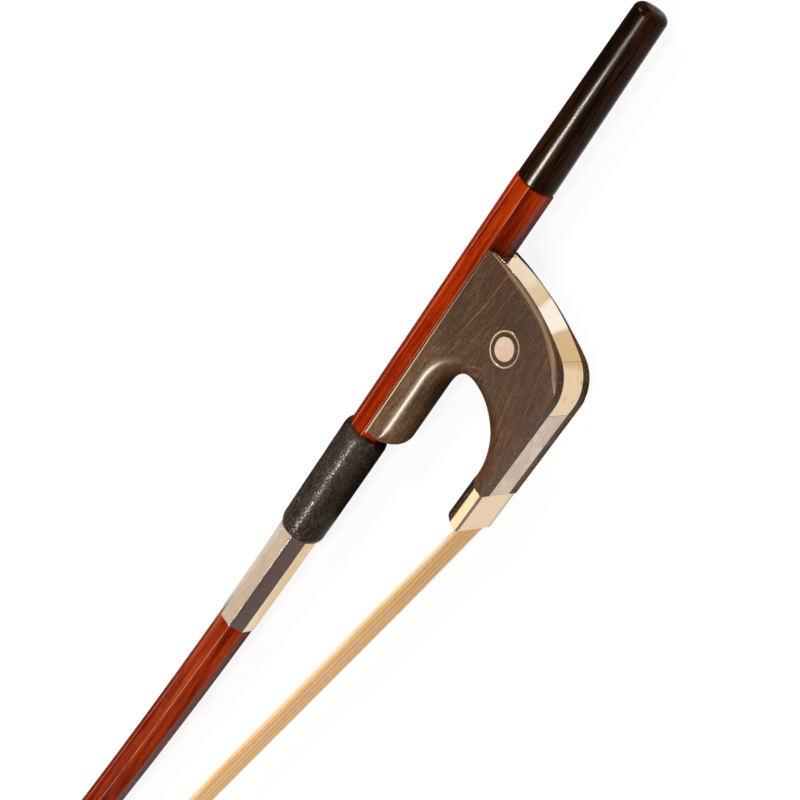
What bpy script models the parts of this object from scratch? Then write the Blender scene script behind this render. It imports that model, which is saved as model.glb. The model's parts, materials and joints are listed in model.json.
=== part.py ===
"""Double bass bow for the underhand grip, lying on its side.

X runs along the handle towards the button, Y from the hair towards the stick,
and Z up from the surface that the bow lies on. Everything is drawn about the
stick's axis at the frog's back tip, in that order of axes, and the empty that
carries the whole bow then brings the middle of its underside to the origin.
"""
import math

import bmesh
import bpy
from mathutils import Matrix, Vector

mm = 0.001

# Clearances
glue_gap = 0.1 * mm
slide_gap = 0.25 * mm

# Stick: an octagon, straight at the handle and cambered from there to the head
stick_flats = 12.8 * mm
lapped_flats = 12.35 * mm
neck_flats = 8.6 * mm
stick_end = 23.16 * mm
camber_start = -100.0 * mm
camber_radius = 2950.0 * mm
taper_start = -85.0 * mm
neck_start = -175.0 * mm
end_chamfer = 0.4 * mm
nipple_diameter = 8.4 * mm
nipple_length = 2.6 * mm

# Screw, eyelet and button
screw_diameter = 4.0 * mm
slack_travel = 2.5 * mm
tightening_travel = 6.5 * mm
eyelet_place = -26.0 * mm
eyelet_length = 6.0 * mm
eyelet_side_wall = 0.5 * mm
eyelet_top_wall = 0.9 * mm
eyelet_shank_diameter = 4.4 * mm
eyelet_shank_depth = 9.0 * mm
screw_reach = 12.0 * mm
screw_in_button = 26.0 * mm
eyelet_width = screw_diameter + 2.0 * eyelet_side_wall
eyelet_rise = screw_diameter / 2.0 + eyelet_top_wall
button_length = 63.4 * mm
button_base_diameter = 13.1 * mm
button_end_diameter = 11.25 * mm
button_end_rounding = 3.0 * mm
button_crown = 0.4 * mm

# Grip
leather_start = -79.3 * mm
leather_end = -126.4 * mm
leather_thickness = 1.3 * mm
lapping_end = -172.3 * mm
lapping_thickness = 0.32 * mm

# Frog, in side view
frog_top = -4.05 * mm
frog_bottom = -52.54 * mm
frog_top_width = 13.8 * mm
frog_bottom_width = 17.52 * mm
back_radius = 80.0 * mm
back_straight = 6.0 * mm
heel_radius = 14.4 * mm
tongue_length = 77.0 * mm
tongue_underside = -14.1 * mm
tongue_nose_radius = 7.5 * mm
throat_back = -36.3 * mm
throat_upper_radius = 9.7 * mm
throat_lower_radius = 19.3 * mm
throat_floor = -43.1 * mm
nose_rounding = 1.8 * mm
tongue_rounding = 6.5 * mm
throat_rounding = 5.5 * mm

# Back strip, its wood border and the flutes beside it
strip_width = 10.0 * mm
strip_thickness = 0.8 * mm
strip_border = 0.5 * mm
heel_border = 3.0 * mm
heel_border_start = -28.0 * mm
flute_depth = 0.75 * mm
flute_depth_heel = 0.25 * mm
flute_skew = 0.55
flute_rim = 1.1 * mm
flute_run = 18.0 * mm
scoop_rim = 0.9 * mm
scoop_run = 10.0 * mm
scoop_end = 3.2 * mm
seam_rise = 7.04 * mm
strip_foot = 3.08 * mm
heel_pin_diameter = 1.3 * mm
heel_pin_length = 4.0 * mm
heel_pin_places = ((3.32 * mm, 1.9 * mm), (2.12 * mm, -2.9 * mm))

# Slide with its pearl face
pearl_thickness = 1.0 * mm
slide_thickness = 1.6 * mm
dovetail_overhang = 1.0 * mm

# Ferrule
ferrule_back = -57.53 * mm
ferrule_length = 15.4 * mm
ferrule_wall = 0.7 * mm
ferrule_edge = 0.35 * mm
ferrule_bottom_bevel = 0.7 * mm

# Hair
hair_width = 12.4 * mm
hair_tip_width = 10.4 * mm
hair_thickness = 1.2 * mm
hair_slope = 0.133
hair_locks = 18

# Mortises that hold the hair's knots
frog_mortise_start = -48.0 * mm
frog_mortise_length = 11.0 * mm
frog_mortise_width = 10.0 * mm
frog_mortise_depth = 4.8 * mm
tip_mortise_length = 11.0 * mm
tip_mortise_width = 7.4 * mm
tip_mortise_depth = 8.5 * mm
knot_length = 4.4 * mm

# Eyes on the frog's two sides
eye_place = (-18.35 * mm, -28.61 * mm)
eye_ring_radius = 5.86 * mm
eye_ring_band = 0.62 * mm
eye_pearl_radius = 3.81 * mm
eye_ring_depth = 0.7 * mm
eye_pearl_depth = 1.2 * mm

# Underslide, the metal lining between the frog and the stick
liner_thickness = 0.5 * mm
liner_rise = 0.55 * mm
liner_pin_diameter = 1.6 * mm
liner_pin_length = 4.5 * mm
liner_pin_places = (-8.0 * mm, -62.0 * mm)

# Head
tip_hair_exit = -632.0 * mm
head_length = 27.5 * mm
throat_reach = 18.5 * mm
face_heel = 2.5 * mm
crown_place = -7.0 * mm
face_half_width = 5.7 * mm
beak_half_width = 1.5 * mm
beak_rise = 1.6 * mm
beak_height = 2.2 * mm
plate_thickness = 1.5 * mm
plate_liner_thickness = 0.8 * mm


def smooth_step(value):
    """Ease from 0 to 1 as the value goes from 0 to 1."""
    value = min(max(value, 0.0), 1.0)
    return value * value * (3.0 - 2.0 * value)


def blend(first, second, share):
    """The value a share of the way from the first to the second."""
    return first + (second - first) * share


def material(name, colour, roughness, metallic=0.0):
    """A plain finish of one colour."""
    finish = bpy.data.materials.new(name)
    finish.use_nodes = True
    shader = finish.node_tree.nodes["Principled BSDF"]
    shader.inputs["Base Color"].default_value = (*colour, 1.0)
    shader.inputs["Roughness"].default_value = roughness
    shader.inputs["Metallic"].default_value = metallic
    return finish


def mesh_object(name, shape, finish, parent, smooth_angle=30.0):
    """Turn a bmesh into a named object under its parent."""
    bmesh.ops.recalc_face_normals(shape, faces=shape.faces)
    mesh = bpy.data.meshes.new(name)
    shape.to_mesh(mesh)
    shape.free()
    mesh.shade_smooth()
    mesh.set_sharp_from_angle(angle=math.radians(smooth_angle))
    made = bpy.data.objects.new(name, mesh)
    bpy.context.scene.collection.objects.link(made)
    if finish is not None:
        mesh.materials.append(finish)
    made.parent = parent
    return made


def loft(rings, closed=False):
    """Skin rings of equally many points, with flat ends unless it closes."""
    shape = bmesh.new()
    loops = [[shape.verts.new(point) for point in ring] for ring in rings]
    count = len(loops[0])
    pairs = list(zip(loops, loops[1:]))
    if closed:
        pairs.append((loops[-1], loops[0]))
    for near, far in pairs:
        for i in range(count):
            j = (i + 1) % count
            shape.faces.new((near[i], near[j], far[j], far[i]))
    if not closed:
        shape.faces.new(reversed(loops[0]))
        shape.faces.new(loops[-1])
    return shape


def extrude_across(outline, low, high):
    """A side outline in X and Y, made solid between two heights in Z."""
    return loft([[(x, y, z) for x, y in outline] for z in (low, high)])


def extrude_along(outline, start, end):
    """A section in Y and Z, made solid between two places along X."""
    return loft([[(x, y, z) for y, z in outline] for x in (start, end)])


def box(low, high):
    """A plain block between two corners."""
    outline = ((low[0], low[1]), (high[0], low[1]), (high[0], high[1]), (low[0], high[1]))
    return extrude_across(outline, low[2], high[2])


def turned(profile, sides=40):
    """A solid of revolution about the X axis, from (place, radius) pairs."""
    rings = []
    for x, radius in profile:
        angles = [2.0 * math.pi * i / sides for i in range(sides)]
        rings.append([(x, radius * math.cos(a), radius * math.sin(a)) for a in angles])
    return loft(rings)


def disc(radius, low, high, sides=40):
    """A round bar about the Z axis."""
    rings = []
    for z in (low, high):
        angles = [2.0 * math.pi * i / sides for i in range(sides)]
        rings.append([(radius * math.cos(a), radius * math.sin(a), z) for a in angles])
    return loft(rings)


def band(outer, inner, low, high, sides=48):
    """A flat ring about the Z axis."""
    rings = []
    for radius, z in ((outer, low), (outer, high), (inner, high), (inner, low)):
        angles = [2.0 * math.pi * i / sides for i in range(sides)]
        rings.append([(radius * math.cos(a), radius * math.sin(a), z) for a in angles])
    return loft(rings, closed=True)


def placed(shape, matrix):
    """Move a bmesh by a matrix."""
    bmesh.ops.transform(shape, matrix=matrix, verts=shape.verts)
    return shape


def boolean(target, tool, operation="DIFFERENCE"):
    """Cut a solid with a tool, or join the tool to it."""
    step = target.modifiers.new(tool.name, "BOOLEAN")
    step.operation = operation
    step.object = tool
    tool.hide_render = True
    tool.display_type = "WIRE"


def cut(target, name, shape, parent):
    """Cut a shape out of a solid."""
    boolean(target, mesh_object(name, shape, None, parent))


def arc(centre, radius, start, end, count):
    """Points on an arc, with angles in degrees."""
    points = []
    for i in range(count + 1):
        angle = math.radians(blend(start, end, i / count))
        points.append((centre[0] + radius * math.cos(angle), centre[1] + radius * math.sin(angle)))
    return points


def axis_height(x):
    """How far the stick's axis has risen from the handle's line."""
    run = max(camber_start - x, 0.0)
    return camber_radius - math.sqrt(camber_radius ** 2 - run ** 2)


def axis_angle(x):
    """The stick's slope, as the angle that its axis has turned by."""
    return math.asin(max(camber_start - x, 0.0) / camber_radius)


def flats_at(x):
    """Across-flats size of the stick along its length."""
    if x > neck_start:
        return blend(stick_flats, lapped_flats, smooth_step((taper_start - x) / (taper_start - neck_start)))
    share = (neck_start - x) / (neck_start - neck_end)
    return blend(lapped_flats, neck_flats, share ** 1.25)


def octagon(half_flats):
    """Corners of an octagon in Y and Z, with flats up, down and sideways."""
    corner = half_flats / math.cos(math.radians(22.5))
    angles = [math.radians(22.5 + 45.0 * i) for i in range(8)]
    return [(corner * math.cos(a), corner * math.sin(a)) for a in angles]


def station(x, section):
    """A section in Y and Z, stood square on the stick's axis at x."""
    turn = axis_angle(x)
    rise = axis_height(x)
    return [(x + y * math.sin(turn), rise + y * math.cos(turn), z) for y, z in section]


def octagon_radius(half_flats, angle):
    """Distance from the axis to an octagon's side in one direction."""
    off = (angle + math.radians(22.5)) % math.radians(45.0) - math.radians(22.5)
    return half_flats / math.cos(off)


def side_half_width(y):
    """Half the frog's width at a height, for its evenly leaning sides."""
    share = (frog_top - y) / (frog_top - frog_bottom)
    return blend(frog_top_width, frog_bottom_width, share) / 2.0


# Frame of the head: p runs to the tip along the hair, q from its face up to the stick
hair_angle = math.atan(hair_slope)
to_tip = Vector((-math.cos(hair_angle), math.sin(hair_angle), 0.0))
to_stick = Vector((math.sin(hair_angle), math.cos(hair_angle), 0.0))
ferrule_front = ferrule_back - ferrule_length
hair_exit_height = frog_bottom + ferrule_wall + glue_gap + hair_thickness / 2.0
tip_rise = (ferrule_front - tip_hair_exit) * hair_slope
face_lift = hair_thickness / 2.0 + glue_gap
face_origin = Vector((tip_hair_exit, hair_exit_height + tip_rise, 0.0)) + to_stick * face_lift
neck_end = tip_hair_exit + face_heel + throat_reach
head_matrix = Matrix.Translation(face_origin) @ Matrix((
    (to_tip.x, to_stick.x, 0.0, 0.0),
    (to_tip.y, to_stick.y, 0.0, 0.0),
    (0.0, 0.0, -1.0, 0.0),
    (0.0, 0.0, 0.0, 1.0)))


def head_point(p, q, z=0.0):
    """A point given along the hair and above the head's face."""
    return head_matrix @ Vector((p, q, -z))


# Where the stick's axis enters the head, in the head's frame
neck_axis = head_matrix.inverted() @ Vector((neck_end, axis_height(neck_end), 0.0))


def heel_centre():
    """Centre of the heel's arc, and the angle where the long back arc takes over."""
    heel_y = frog_bottom + heel_radius
    drop = frog_top - back_straight - heel_y
    reach = back_radius - heel_radius
    turn = math.degrees(math.asin(drop / reach))
    return (math.sqrt(reach ** 2 - drop ** 2) - back_radius, heel_y), turn


# The strip ends on the flat bottom, a little ahead of the heel's arc
strip_end = heel_centre()[0][0] - strip_foot


def heel_matrix(x, z):
    """Frame on the heel's surface, with Z into the wood."""
    (centre_x, centre_y), _ = heel_centre()
    angle = math.asin(max(x - centre_x, 0.0) / heel_radius)
    y = centre_y - heel_radius * math.cos(angle)
    return Matrix.Translation((x, y, z)) @ Matrix.Rotation(angle, 4, "Z") @ Matrix.Rotation(
        math.radians(-90.0), 4, "X")


def back_outline():
    """The frog's back and heel: bottom line, heel arc and long back arc."""
    centre_back = (-back_radius, frog_top - back_straight)
    heel, turn = heel_centre()
    points = []
    for x, y in arc(heel, heel_radius, -90.0, -turn, 12):
        points.append(((x, y), (heel[0] - x, heel[1] - y)))
    for x, y in arc(centre_back, back_radius, -turn, 0.0, 14)[1:]:
        points.append(((x, y), (centre_back[0] - x, centre_back[1] - y)))
    points.append(((0.0, frog_top), (-1.0, 0.0)))
    return points


def throat_outline():
    """Tongue and throat: each point has its inward direction and rounding."""
    nose = (-tongue_length + tongue_nose_radius, tongue_underside + tongue_nose_radius)
    points = [((-tongue_length, frog_top), (1.0, 0.0), nose_rounding)]
    steps = 9
    for i, (x, y) in enumerate(arc(nose, tongue_nose_radius, 180.0, 270.0, steps)):
        depth = blend(nose_rounding, tongue_rounding, smooth_step(i / steps))
        points.append(((x, y), (nose[0] - x, nose[1] - y), depth))
    upper = (throat_back - throat_upper_radius, tongue_underside - throat_upper_radius)
    steps = 10
    for i, (x, y) in enumerate(arc(upper, throat_upper_radius, 90.0, 0.0, steps)):
        depth = blend(tongue_rounding, throat_rounding, i / steps)
        points.append(((x, y), (x - upper[0], y - upper[1]), depth))
    lower = (throat_back - throat_lower_radius, throat_floor + throat_lower_radius)
    steps = 18
    for i, (x, y) in enumerate(arc(lower, throat_lower_radius, 0.0, -90.0, steps)):
        depth = blend(throat_rounding, frog_bottom_width / 2.0, smooth_step(i / steps))
        points.append(((x, y), (x - lower[0], y - lower[1]), depth))
    points.append(((ferrule_back, throat_floor), (0.0, -1.0), frog_bottom_width / 2.0))
    return points


def heel_share(y):
    """Zero along the back's upper part, rising to one at the frog's bottom."""
    return smooth_step((heel_border_start - y) / (heel_border_start - frog_bottom))


def border_half_width(y):
    """Half the width of the back's middle band, which holds the metal strip."""
    return strip_width / 2.0 + strip_border + heel_border * heel_share(y)


def rim_inset(y):
    """How far the flute's outer rim stands in from the back, widest in the scoop over the heel."""
    upper = flute_rim * smooth_step((frog_top - y) / flute_run)
    scoop_start = frog_bottom + scoop_end + scoop_run
    scoop = scoop_rim * smooth_step((scoop_start - y) / scoop_run)
    return (upper + scoop) * smooth_step((y - frog_bottom) / scoop_end)


def flute_hollow(y, share):
    """The flute's depth under a straight slope, steep beside the strip and shallow to the rim."""
    depth = blend(flute_depth, flute_depth_heel, heel_share(y))
    fade = smooth_step((y - frog_bottom) / scoop_end)
    return depth * fade * math.sin(math.pi * share ** flute_skew)


def frog_body(finish, parent):
    """The frog's wood, skinned through levels from one side to the other."""
    flute_shares = (0.05, 0.13, 0.24, 0.38, 0.54, 0.7, 0.86, 1.0)
    levels = [(step / 3.0, 0.0) for step in range(4)] + [(1.0, share) for share in flute_shares]
    levels = [(inner, share, -1.0) for inner, share in reversed(levels[1:])] + \
             [(inner, share, 1.0) for inner, share in levels]
    throat = throat_outline()
    back = back_outline()
    rings = []
    for inner, share, side in levels:

        def height(y):
            border = border_half_width(y)
            return side * (inner * border + share * (side_half_width(y) - border))

        ring = []
        for (x, y), inward, depth in throat:
            inward = Vector(inward).normalized()
            level = min(abs(height(y)) / side_half_width(y), 1.0)
            offset = depth * (1.0 - math.sqrt(1.0 - level ** 2))
            px = x + inward.x * offset
            py = y + inward.y * offset
            ring.append((px, py, height(py)))
        ring.append((ferrule_back, frog_bottom, height(frog_bottom)))
        for (x, y), inward in back:
            inward = Vector(inward).normalized()
            offset = rim_inset(y) * share + flute_hollow(y, share)
            px = x + inward.x * offset
            py = y + inward.y * offset
            ring.append((px, py, height(py)))
        rings.append(ring)
    return mesh_object("frog_body", loft(rings), finish, parent)


def ferrule_section(inset):
    """The ferrule's arched section in Y and Z, drawn in by an inset."""
    radius = frog_bottom_width / 2.0
    centre = throat_floor - radius
    floor = frog_bottom + inset
    arch = [(centre + (radius - inset) * math.sin(a), (radius - inset) * math.cos(a))
            for a in [math.pi * i / 28 for i in range(29)]]
    bevel = max(ferrule_bottom_bevel - (2.0 - math.sqrt(2.0)) * inset, 0.1 * mm)
    edge = [(floor, radius - inset - bevel), (floor + bevel, radius - inset)]
    return edge + arch + [(y, -z) for y, z in reversed(edge)]


def ferrule(finish, parent):
    """A metal tube of arched section with eased rims."""
    back = ferrule_back - glue_gap
    front = ferrule_front
    rings = []
    for inset, x in ((0.0, back - ferrule_edge / 2.0), (ferrule_edge / 2.0, back),
                     (ferrule_wall, back), (ferrule_wall, front),
                     (ferrule_edge, front), (0.0, front + ferrule_edge)):
        rings.append([(x, y, z) for y, z in ferrule_section(inset)])
    return mesh_object("ferrule", loft(rings, closed=True), finish, parent)


def ferrule_tenon(parent):
    """The frog's stub inside the ferrule, above the wedge and the hair."""
    inset = ferrule_wall + glue_gap
    section = [(y, z) for y, z in ferrule_section(inset) if y > tenon_floor]
    edge = section[0][1]
    section = [(tenon_floor, edge)] + section + [(tenon_floor, -edge)]
    start = ferrule_back + 3.0 * mm
    return mesh_object("ferrule_tenon", extrude_along(section, ferrule_front + 0.6 * mm, start), None, parent)


slide_floor = frog_bottom + pearl_thickness + glue_gap + slide_thickness
tenon_floor = slide_floor + glue_gap + hair_thickness + 0.2 * mm


def slide_section(gap):
    """The dovetail that holds the slide, wider inside than at the pearl."""
    half = strip_width / 2.0 + gap
    shoulder = frog_bottom + pearl_thickness
    inner = slide_floor + gap
    wide = half + dovetail_overhang
    return [(shoulder, half), (inner, wide), (inner, -wide), (shoulder, -half)]


def strip_solid(rows, lift, depth, half_width):
    """A strip along part of the back outline, between two depths under it."""
    outline = [(x + n.x * lift, y + n.y * lift) for (x, y), n in rows]
    outline += [(x + n.x * depth, y + n.y * depth) for (x, y), n in reversed(rows)]
    return extrude_across(outline, -half_width, half_width)


def strip_rows():
    """The back outline's points from the pearl's end up to the stick."""
    rows = [((strip_end, frog_bottom), Vector((0.0, 1.0)))]
    for point, inward in back_outline():
        rows.append((point, Vector(inward).normalized()))
    return rows


def split_rows(rows, height, gap):
    """Divide the outline's points at a height, with a gap for the seam."""
    for i in range(1, len(rows)):
        (x0, y0), n0 = rows[i - 1]
        (x1, y1), n1 = rows[i]
        if y0 <= height < y1:
            share = (height - y0) / (y1 - y0)
            along = Vector((x1 - x0, y1 - y0)).normalized() * gap / 2.0
            x = blend(x0, x1, share)
            y = blend(y0, y1, share)
            normal = n0.lerp(n1, share).normalized()
            below = [row for row in rows[:i] if math.dist(row[0], (x, y)) > 4.0 * gap]
            above = [row for row in rows[i:] if math.dist(row[0], (x, y)) > 4.0 * gap]
            low = below + [((x - along.x, y - along.y), normal)]
            high = [((x + along.x, y + along.y), normal)] + above
            return low, high
    return rows, []


def liner_profile(inset, top):
    """Points down one diagonal flat, along the bottom flat and up the other."""
    half = stick_flats / 2.0 + inset
    corner = half * math.tan(math.radians(22.5))
    reach = half * math.sqrt(2.0) + top
    return [(top, reach), (-half, corner), (-half, -corner), (top, -reach)]


def eye_matrix(side):
    """Frame on one of the frog's leaning sides, with Z out of the wood."""
    x, y = eye_place
    lean = (frog_bottom_width - frog_top_width) / 2.0 / (frog_top - frog_bottom)
    out = Vector((0.0, lean, 1.0)).normalized()
    along = Vector((1.0, 0.0, 0.0))
    across = out.cross(along)
    frame = Matrix((along, across, out)).transposed().to_4x4()
    frame = Matrix.Translation((x, y, side_half_width(y))) @ frame
    if side < 0:
        frame = Matrix.Diagonal((1.0, 1.0, -1.0, 1.0)) @ frame
    return frame


def head_rib(share):
    """One rib of the head: its lower and upper ends and its widths."""
    wood_floor = plate_thickness + plate_liner_thickness + 2.0 * glue_gap
    throat_share = 0.5
    if share < throat_share:
        turn = math.radians(90.0 * (1.0 - share / throat_share))
        straight = 1.0 * mm
        reach_p = -face_heel - neck_axis.x
        reach_q = neck_axis.y - neck_flats / 2.0 - wood_floor - straight
        p_low = neck_axis.x + reach_p * math.cos(turn)
        q_low = wood_floor + straight + reach_q * math.sin(turn)
        p_top = blend(neck_axis.x, crown_place, share / throat_share)
    else:
        along = (share - throat_share) / (1.0 - throat_share)
        p_low = blend(-face_heel, head_length - 0.6 * mm, along)
        q_low = wood_floor + face_curve(p_low)
        p_top = blend(crown_place, head_length, along ** 0.85)
    return p_low, q_low, p_top, head_ridge(p_top)


def face_curve(p):
    """How the head's face lifts towards the beak."""
    return beak_rise * max(p / head_length, 0.0) ** 2.4


def head_ridge(p):
    """Height of the head's ridge over its face, falling in an S to the beak."""
    start = neck_axis.x
    slope = math.tan(axis_angle(neck_end) - hair_angle)
    top = neck_axis.y + neck_flats / 2.0
    crown = top + slope * (crown_place - start) * 0.7
    low = beak_rise + plate_thickness + plate_liner_thickness + beak_height
    if p < crown_place:
        share = (p - start) / (crown_place - start)
        return top + (crown - top) * (share + 0.43 * share * (1.0 - share))
    share = (p - crown_place) / (head_length - crown_place)
    fall = 0.62 * smooth_step(share) + 0.38 * share ** 1.6
    return blend(crown, low, fall)


def face_width(p):
    """Half-width of the head's face along it."""
    share = min(max((p + face_heel) / (head_length + face_heel), 0.0), 1.0)
    swell = 0.35 * mm * math.sin(math.pi * min(share * 1.6, 1.0))
    return blend(face_half_width, beak_half_width, share ** 2.6) + swell


def head_rings():
    """Ribs from the neck's octagon through the throat to the beak."""
    count = 44
    half = neck_flats / 2.0
    corner = half * math.tan(math.radians(22.5))
    rings = []
    for i in range(1, count + 1):
        share = i / count
        p_low, q_low, p_top, q_top = head_rib(share)
        change = smooth_step(min(share / 0.5, 1.0))
        wide = face_width(p_low)
        narrow = blend(0.62, 0.5, share)
        low = blend(corner, wide, change)
        cheek = blend(half, wide, change)
        cheek_share = blend(0.293, 0.06, change)
        shoulder = blend(half, wide * narrow + 0.9 * mm, change)
        shoulder_share = blend(0.707, 0.78, change)
        ridge = blend(corner, 0.7 * mm, change)
        waist = blend(half, 0.5 * (cheek + shoulder) - 0.25 * mm, change)
        waist_share = blend(0.5, 0.42, change)
        ladder = rounded_ladder([(0.0, low), (cheek_share, cheek), (waist_share, waist),
                                 (shoulder_share, shoulder), (1.0, ridge)], change)
        right = [head_point(blend(p_low, p_top, s), blend(q_low, q_top, s), z) for s, z in ladder]
        left = [head_point(blend(p_low, p_top, s), blend(q_low, q_top, s), -z) for s, z in reversed(ladder)]
        rings.append(right + left)
    return rings


def rounded_ladder(points, roundness):
    """Points with one more between each two, moved out from the straight line by the roundness."""
    ends = [points[0]] + list(points) + [points[-1]]
    ladder = [points[0]]
    for before, near, far, after in zip(ends, ends[1:], ends[2:], ends[3:]):
        middle = []
        for i in range(2):
            straight = (near[i] + far[i]) / 2.0
            curved = (9.0 * (near[i] + far[i]) - before[i] - after[i]) / 16.0
            middle.append(blend(straight, curved, roundness))
        ladder += [tuple(middle), far]
    return ladder


def stick_section(half_flats):
    """The octagon with points added in its flats, low to high and back."""
    corner = half_flats * math.tan(math.radians(22.5))
    right = rounded_ladder([(-half_flats, corner), (-corner, half_flats), (0.0, half_flats),
                            (corner, half_flats), (half_flats, corner)], 0.0)
    return right + [(y, -z) for y, z in reversed(right)]


def stick(finish, parent):
    """The octagonal bar, its carved head and the bores and slots in it."""
    rings = [station(stick_end, stick_section(stick_flats / 2.0 - end_chamfer))]
    places = [stick_end - end_chamfer, taper_start]
    places += [blend(taper_start, neck_start, i / 8.0) for i in range(1, 9)]
    places += [blend(neck_start, neck_end, i / 36.0) for i in range(1, 37)]
    for x in places:
        rings.append(station(x, stick_section(flats_at(x) / 2.0)))
    body = mesh_object("stick", loft(rings + head_rings()), finish, parent, 20.0)

    nipple = turned([(stick_end - 1.0 * mm, nipple_diameter / 2.0),
                     (stick_end + nipple_length, nipple_diameter / 2.0)], 24)
    boolean(body, mesh_object("stick_nipple", nipple, None, parent), "UNION")

    bore = screw_diameter / 2.0 + slide_gap
    bore_end = eyelet_place - screw_reach - 2.0 * mm
    cut(body, "screw_bore", turned([(bore_end, bore), (stick_end + 10.0 * mm, bore)], 24), parent)

    spare = 0.6 * mm
    slot_low = eyelet_place - eyelet_length / 2.0 - slack_travel - spare
    slot_high = eyelet_place + eyelet_length / 2.0 + tightening_travel + spare
    slot_half = eyelet_width / 2.0 + slide_gap
    cut(body, "eyelet_slot", box((slot_low, -stick_flats, -slot_half),
                                 (slot_high, eyelet_rise + 2.0 * slide_gap, slot_half)), parent)

    pocket = box((0.0, -5.0 * mm, -tip_mortise_width / 2.0),
                 (tip_mortise_length, tip_mortise_depth + plate_thickness, tip_mortise_width / 2.0))
    cut(body, "tip_mortise", placed(pocket, head_matrix), parent)
    return body


def head_leaf(low, high):
    """A leaf under the head's face, between two levels, with its hair window."""
    count = 18
    rings = []
    for i in range(count + 1):
        p = blend(-face_heel, head_length, i / count)
        wide = face_width(p)
        rise = face_curve(p)
        rings.append([head_point(p, rise + low, -wide), head_point(p, rise + low, wide),
                      head_point(p, rise + high, wide), head_point(p, rise + high, -wide)])
    return loft(rings)


def head_leaves(finishes, parent):
    """The head's face plate and the thin liner between it and the wood."""
    top = plate_thickness + glue_gap
    levels = {"tip_plate": (0.0, plate_thickness), "tip_plate_liner": (top, top + plate_liner_thickness)}
    for name, (low, high) in levels.items():
        leaf = mesh_object(name, head_leaf(low, high), finishes[name], parent)
        window = box((0.0, -5.0 * mm, -tip_mortise_width / 2.0),
                     (tip_mortise_length, 5.0 * mm, tip_mortise_width / 2.0))
        cut(leaf, name + "_window", placed(window, head_matrix), parent)


def hair_path():
    """Middle of the ribbon from the frog's knot to the head's knot."""
    inner = slide_floor + glue_gap + hair_thickness / 2.0 + 0.05 * mm
    knot = frog_mortise_start + knot_length + hair_thickness
    mortise_share = (frog_mortise_width - 2.0 * slide_gap) / hair_width
    path = [((knot - 1.5 * mm, inner + 0.4 * mm, 0.0), mortise_share),
            ((knot - 3.5 * mm, inner, 0.0), mortise_share),
            ((frog_mortise_start - 1.0 * mm, inner, 0.0), 1.0),
            ((ferrule_back - 1.0 * mm, inner, 0.0), 1.0),
            ((ferrule_back - 7.0 * mm, blend(inner, hair_exit_height, 0.85), 0.0), 1.0),
            ((ferrule_front, hair_exit_height, 0.0), 1.0)]
    tip_share = hair_tip_width / hair_width
    exit_point = Vector((ferrule_front, hair_exit_height, 0.0))
    length = (Vector((tip_hair_exit, hair_exit_height + tip_rise, 0.0)) - exit_point).length
    gather = 7.0 * mm
    steps = 12
    for i in range(1, steps + 1):
        share = i / steps
        point = exit_point + to_tip * (length - gather) * share
        path.append((tuple(point), blend(1.0, tip_share, smooth_step(share))))
    window_share = (tip_mortise_width - 2.0 * slide_gap) / hair_width
    turn_radius = 1.1 * mm
    centre = (0.2 * mm, turn_radius - face_lift)
    for p, q in arc(centre, turn_radius, -90.0, 0.0, 4) + [(centre[0] + turn_radius, 3.6 * mm)]:
        path.append((tuple(head_point(p, q)), window_share))
    return path


def hair_ribbon(finish, parent):
    """The flat ribbon, with rounded locks of hair across its width."""
    path = hair_path()
    rings = []
    for i, (point, share) in enumerate(path):
        before = Vector(path[max(i - 1, 0)][0])
        after = Vector(path[min(i + 1, len(path) - 1)][0])
        along = (after - before).normalized()
        up = Vector((0.0, 0.0, 1.0)).cross(along).normalized()
        half = hair_width * share / 2.0
        thick = hair_thickness / 2.0
        ring = []
        steps = hair_locks * 2
        for side in (1.0, -1.0):
            for k in range(steps + 1):
                z = side * blend(-half, half, k / steps)
                swell = thick * (1.0 if k % 2 else 0.8)
                if k in (0, steps):
                    swell = thick * 0.45
                ring.append(Vector(point) - up * swell * side + Vector((0.0, 0.0, z)))
        rings.append(ring)
    return mesh_object("hair_ribbon", loft(rings), finish, parent, 60.0)


def grip(finishes, parent):
    """The leather sleeve with thinned ends and the wire lapping ahead of it."""
    sides = 32
    angles = [2.0 * math.pi * i / sides for i in range(sides)]

    def ring(x, inset, thickness, roundness):
        half = flats_at(x) / 2.0 + inset
        section = []
        for a in angles:
            inner = octagon_radius(half, a)
            outer = half / math.cos(math.radians(22.5)) if thickness else inner
            radius = blend(inner, outer, roundness) + thickness
            section.append((radius * math.cos(a), radius * math.sin(a)))
        return station(x, section)

    stations = [(0.0, 0.4), (0.018, 0.7), (0.045, 0.91), (0.085, 1.0), (0.5, 1.0),
                (0.9, 1.0), (0.945, 0.92), (0.98, 0.7), (1.0, 0.38)]
    outer = []
    inner = []
    for share, height in stations:
        x = blend(leather_start, leather_end, share)
        outer.append(ring(x, glue_gap, leather_thickness * height - glue_gap, 0.55 * height))
        inner.append(ring(x, glue_gap, 0.0, 0.0))
    mesh_object("leather_grip", loft(outer + inner[::-1], closed=True), finishes["leather"], parent)

    start = leather_end - glue_gap
    places = [blend(start, lapping_end, i / 6.0) for i in range(7)]
    outer = [station(x, octagon(flats_at(x) / 2.0 + glue_gap + lapping_thickness)) for x in places]
    inner = [station(x, octagon(flats_at(x) / 2.0 + glue_gap)) for x in reversed(places)]
    mesh_object("wire_lapping", loft(outer + inner, closed=True), finishes["wire"], parent)


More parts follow.
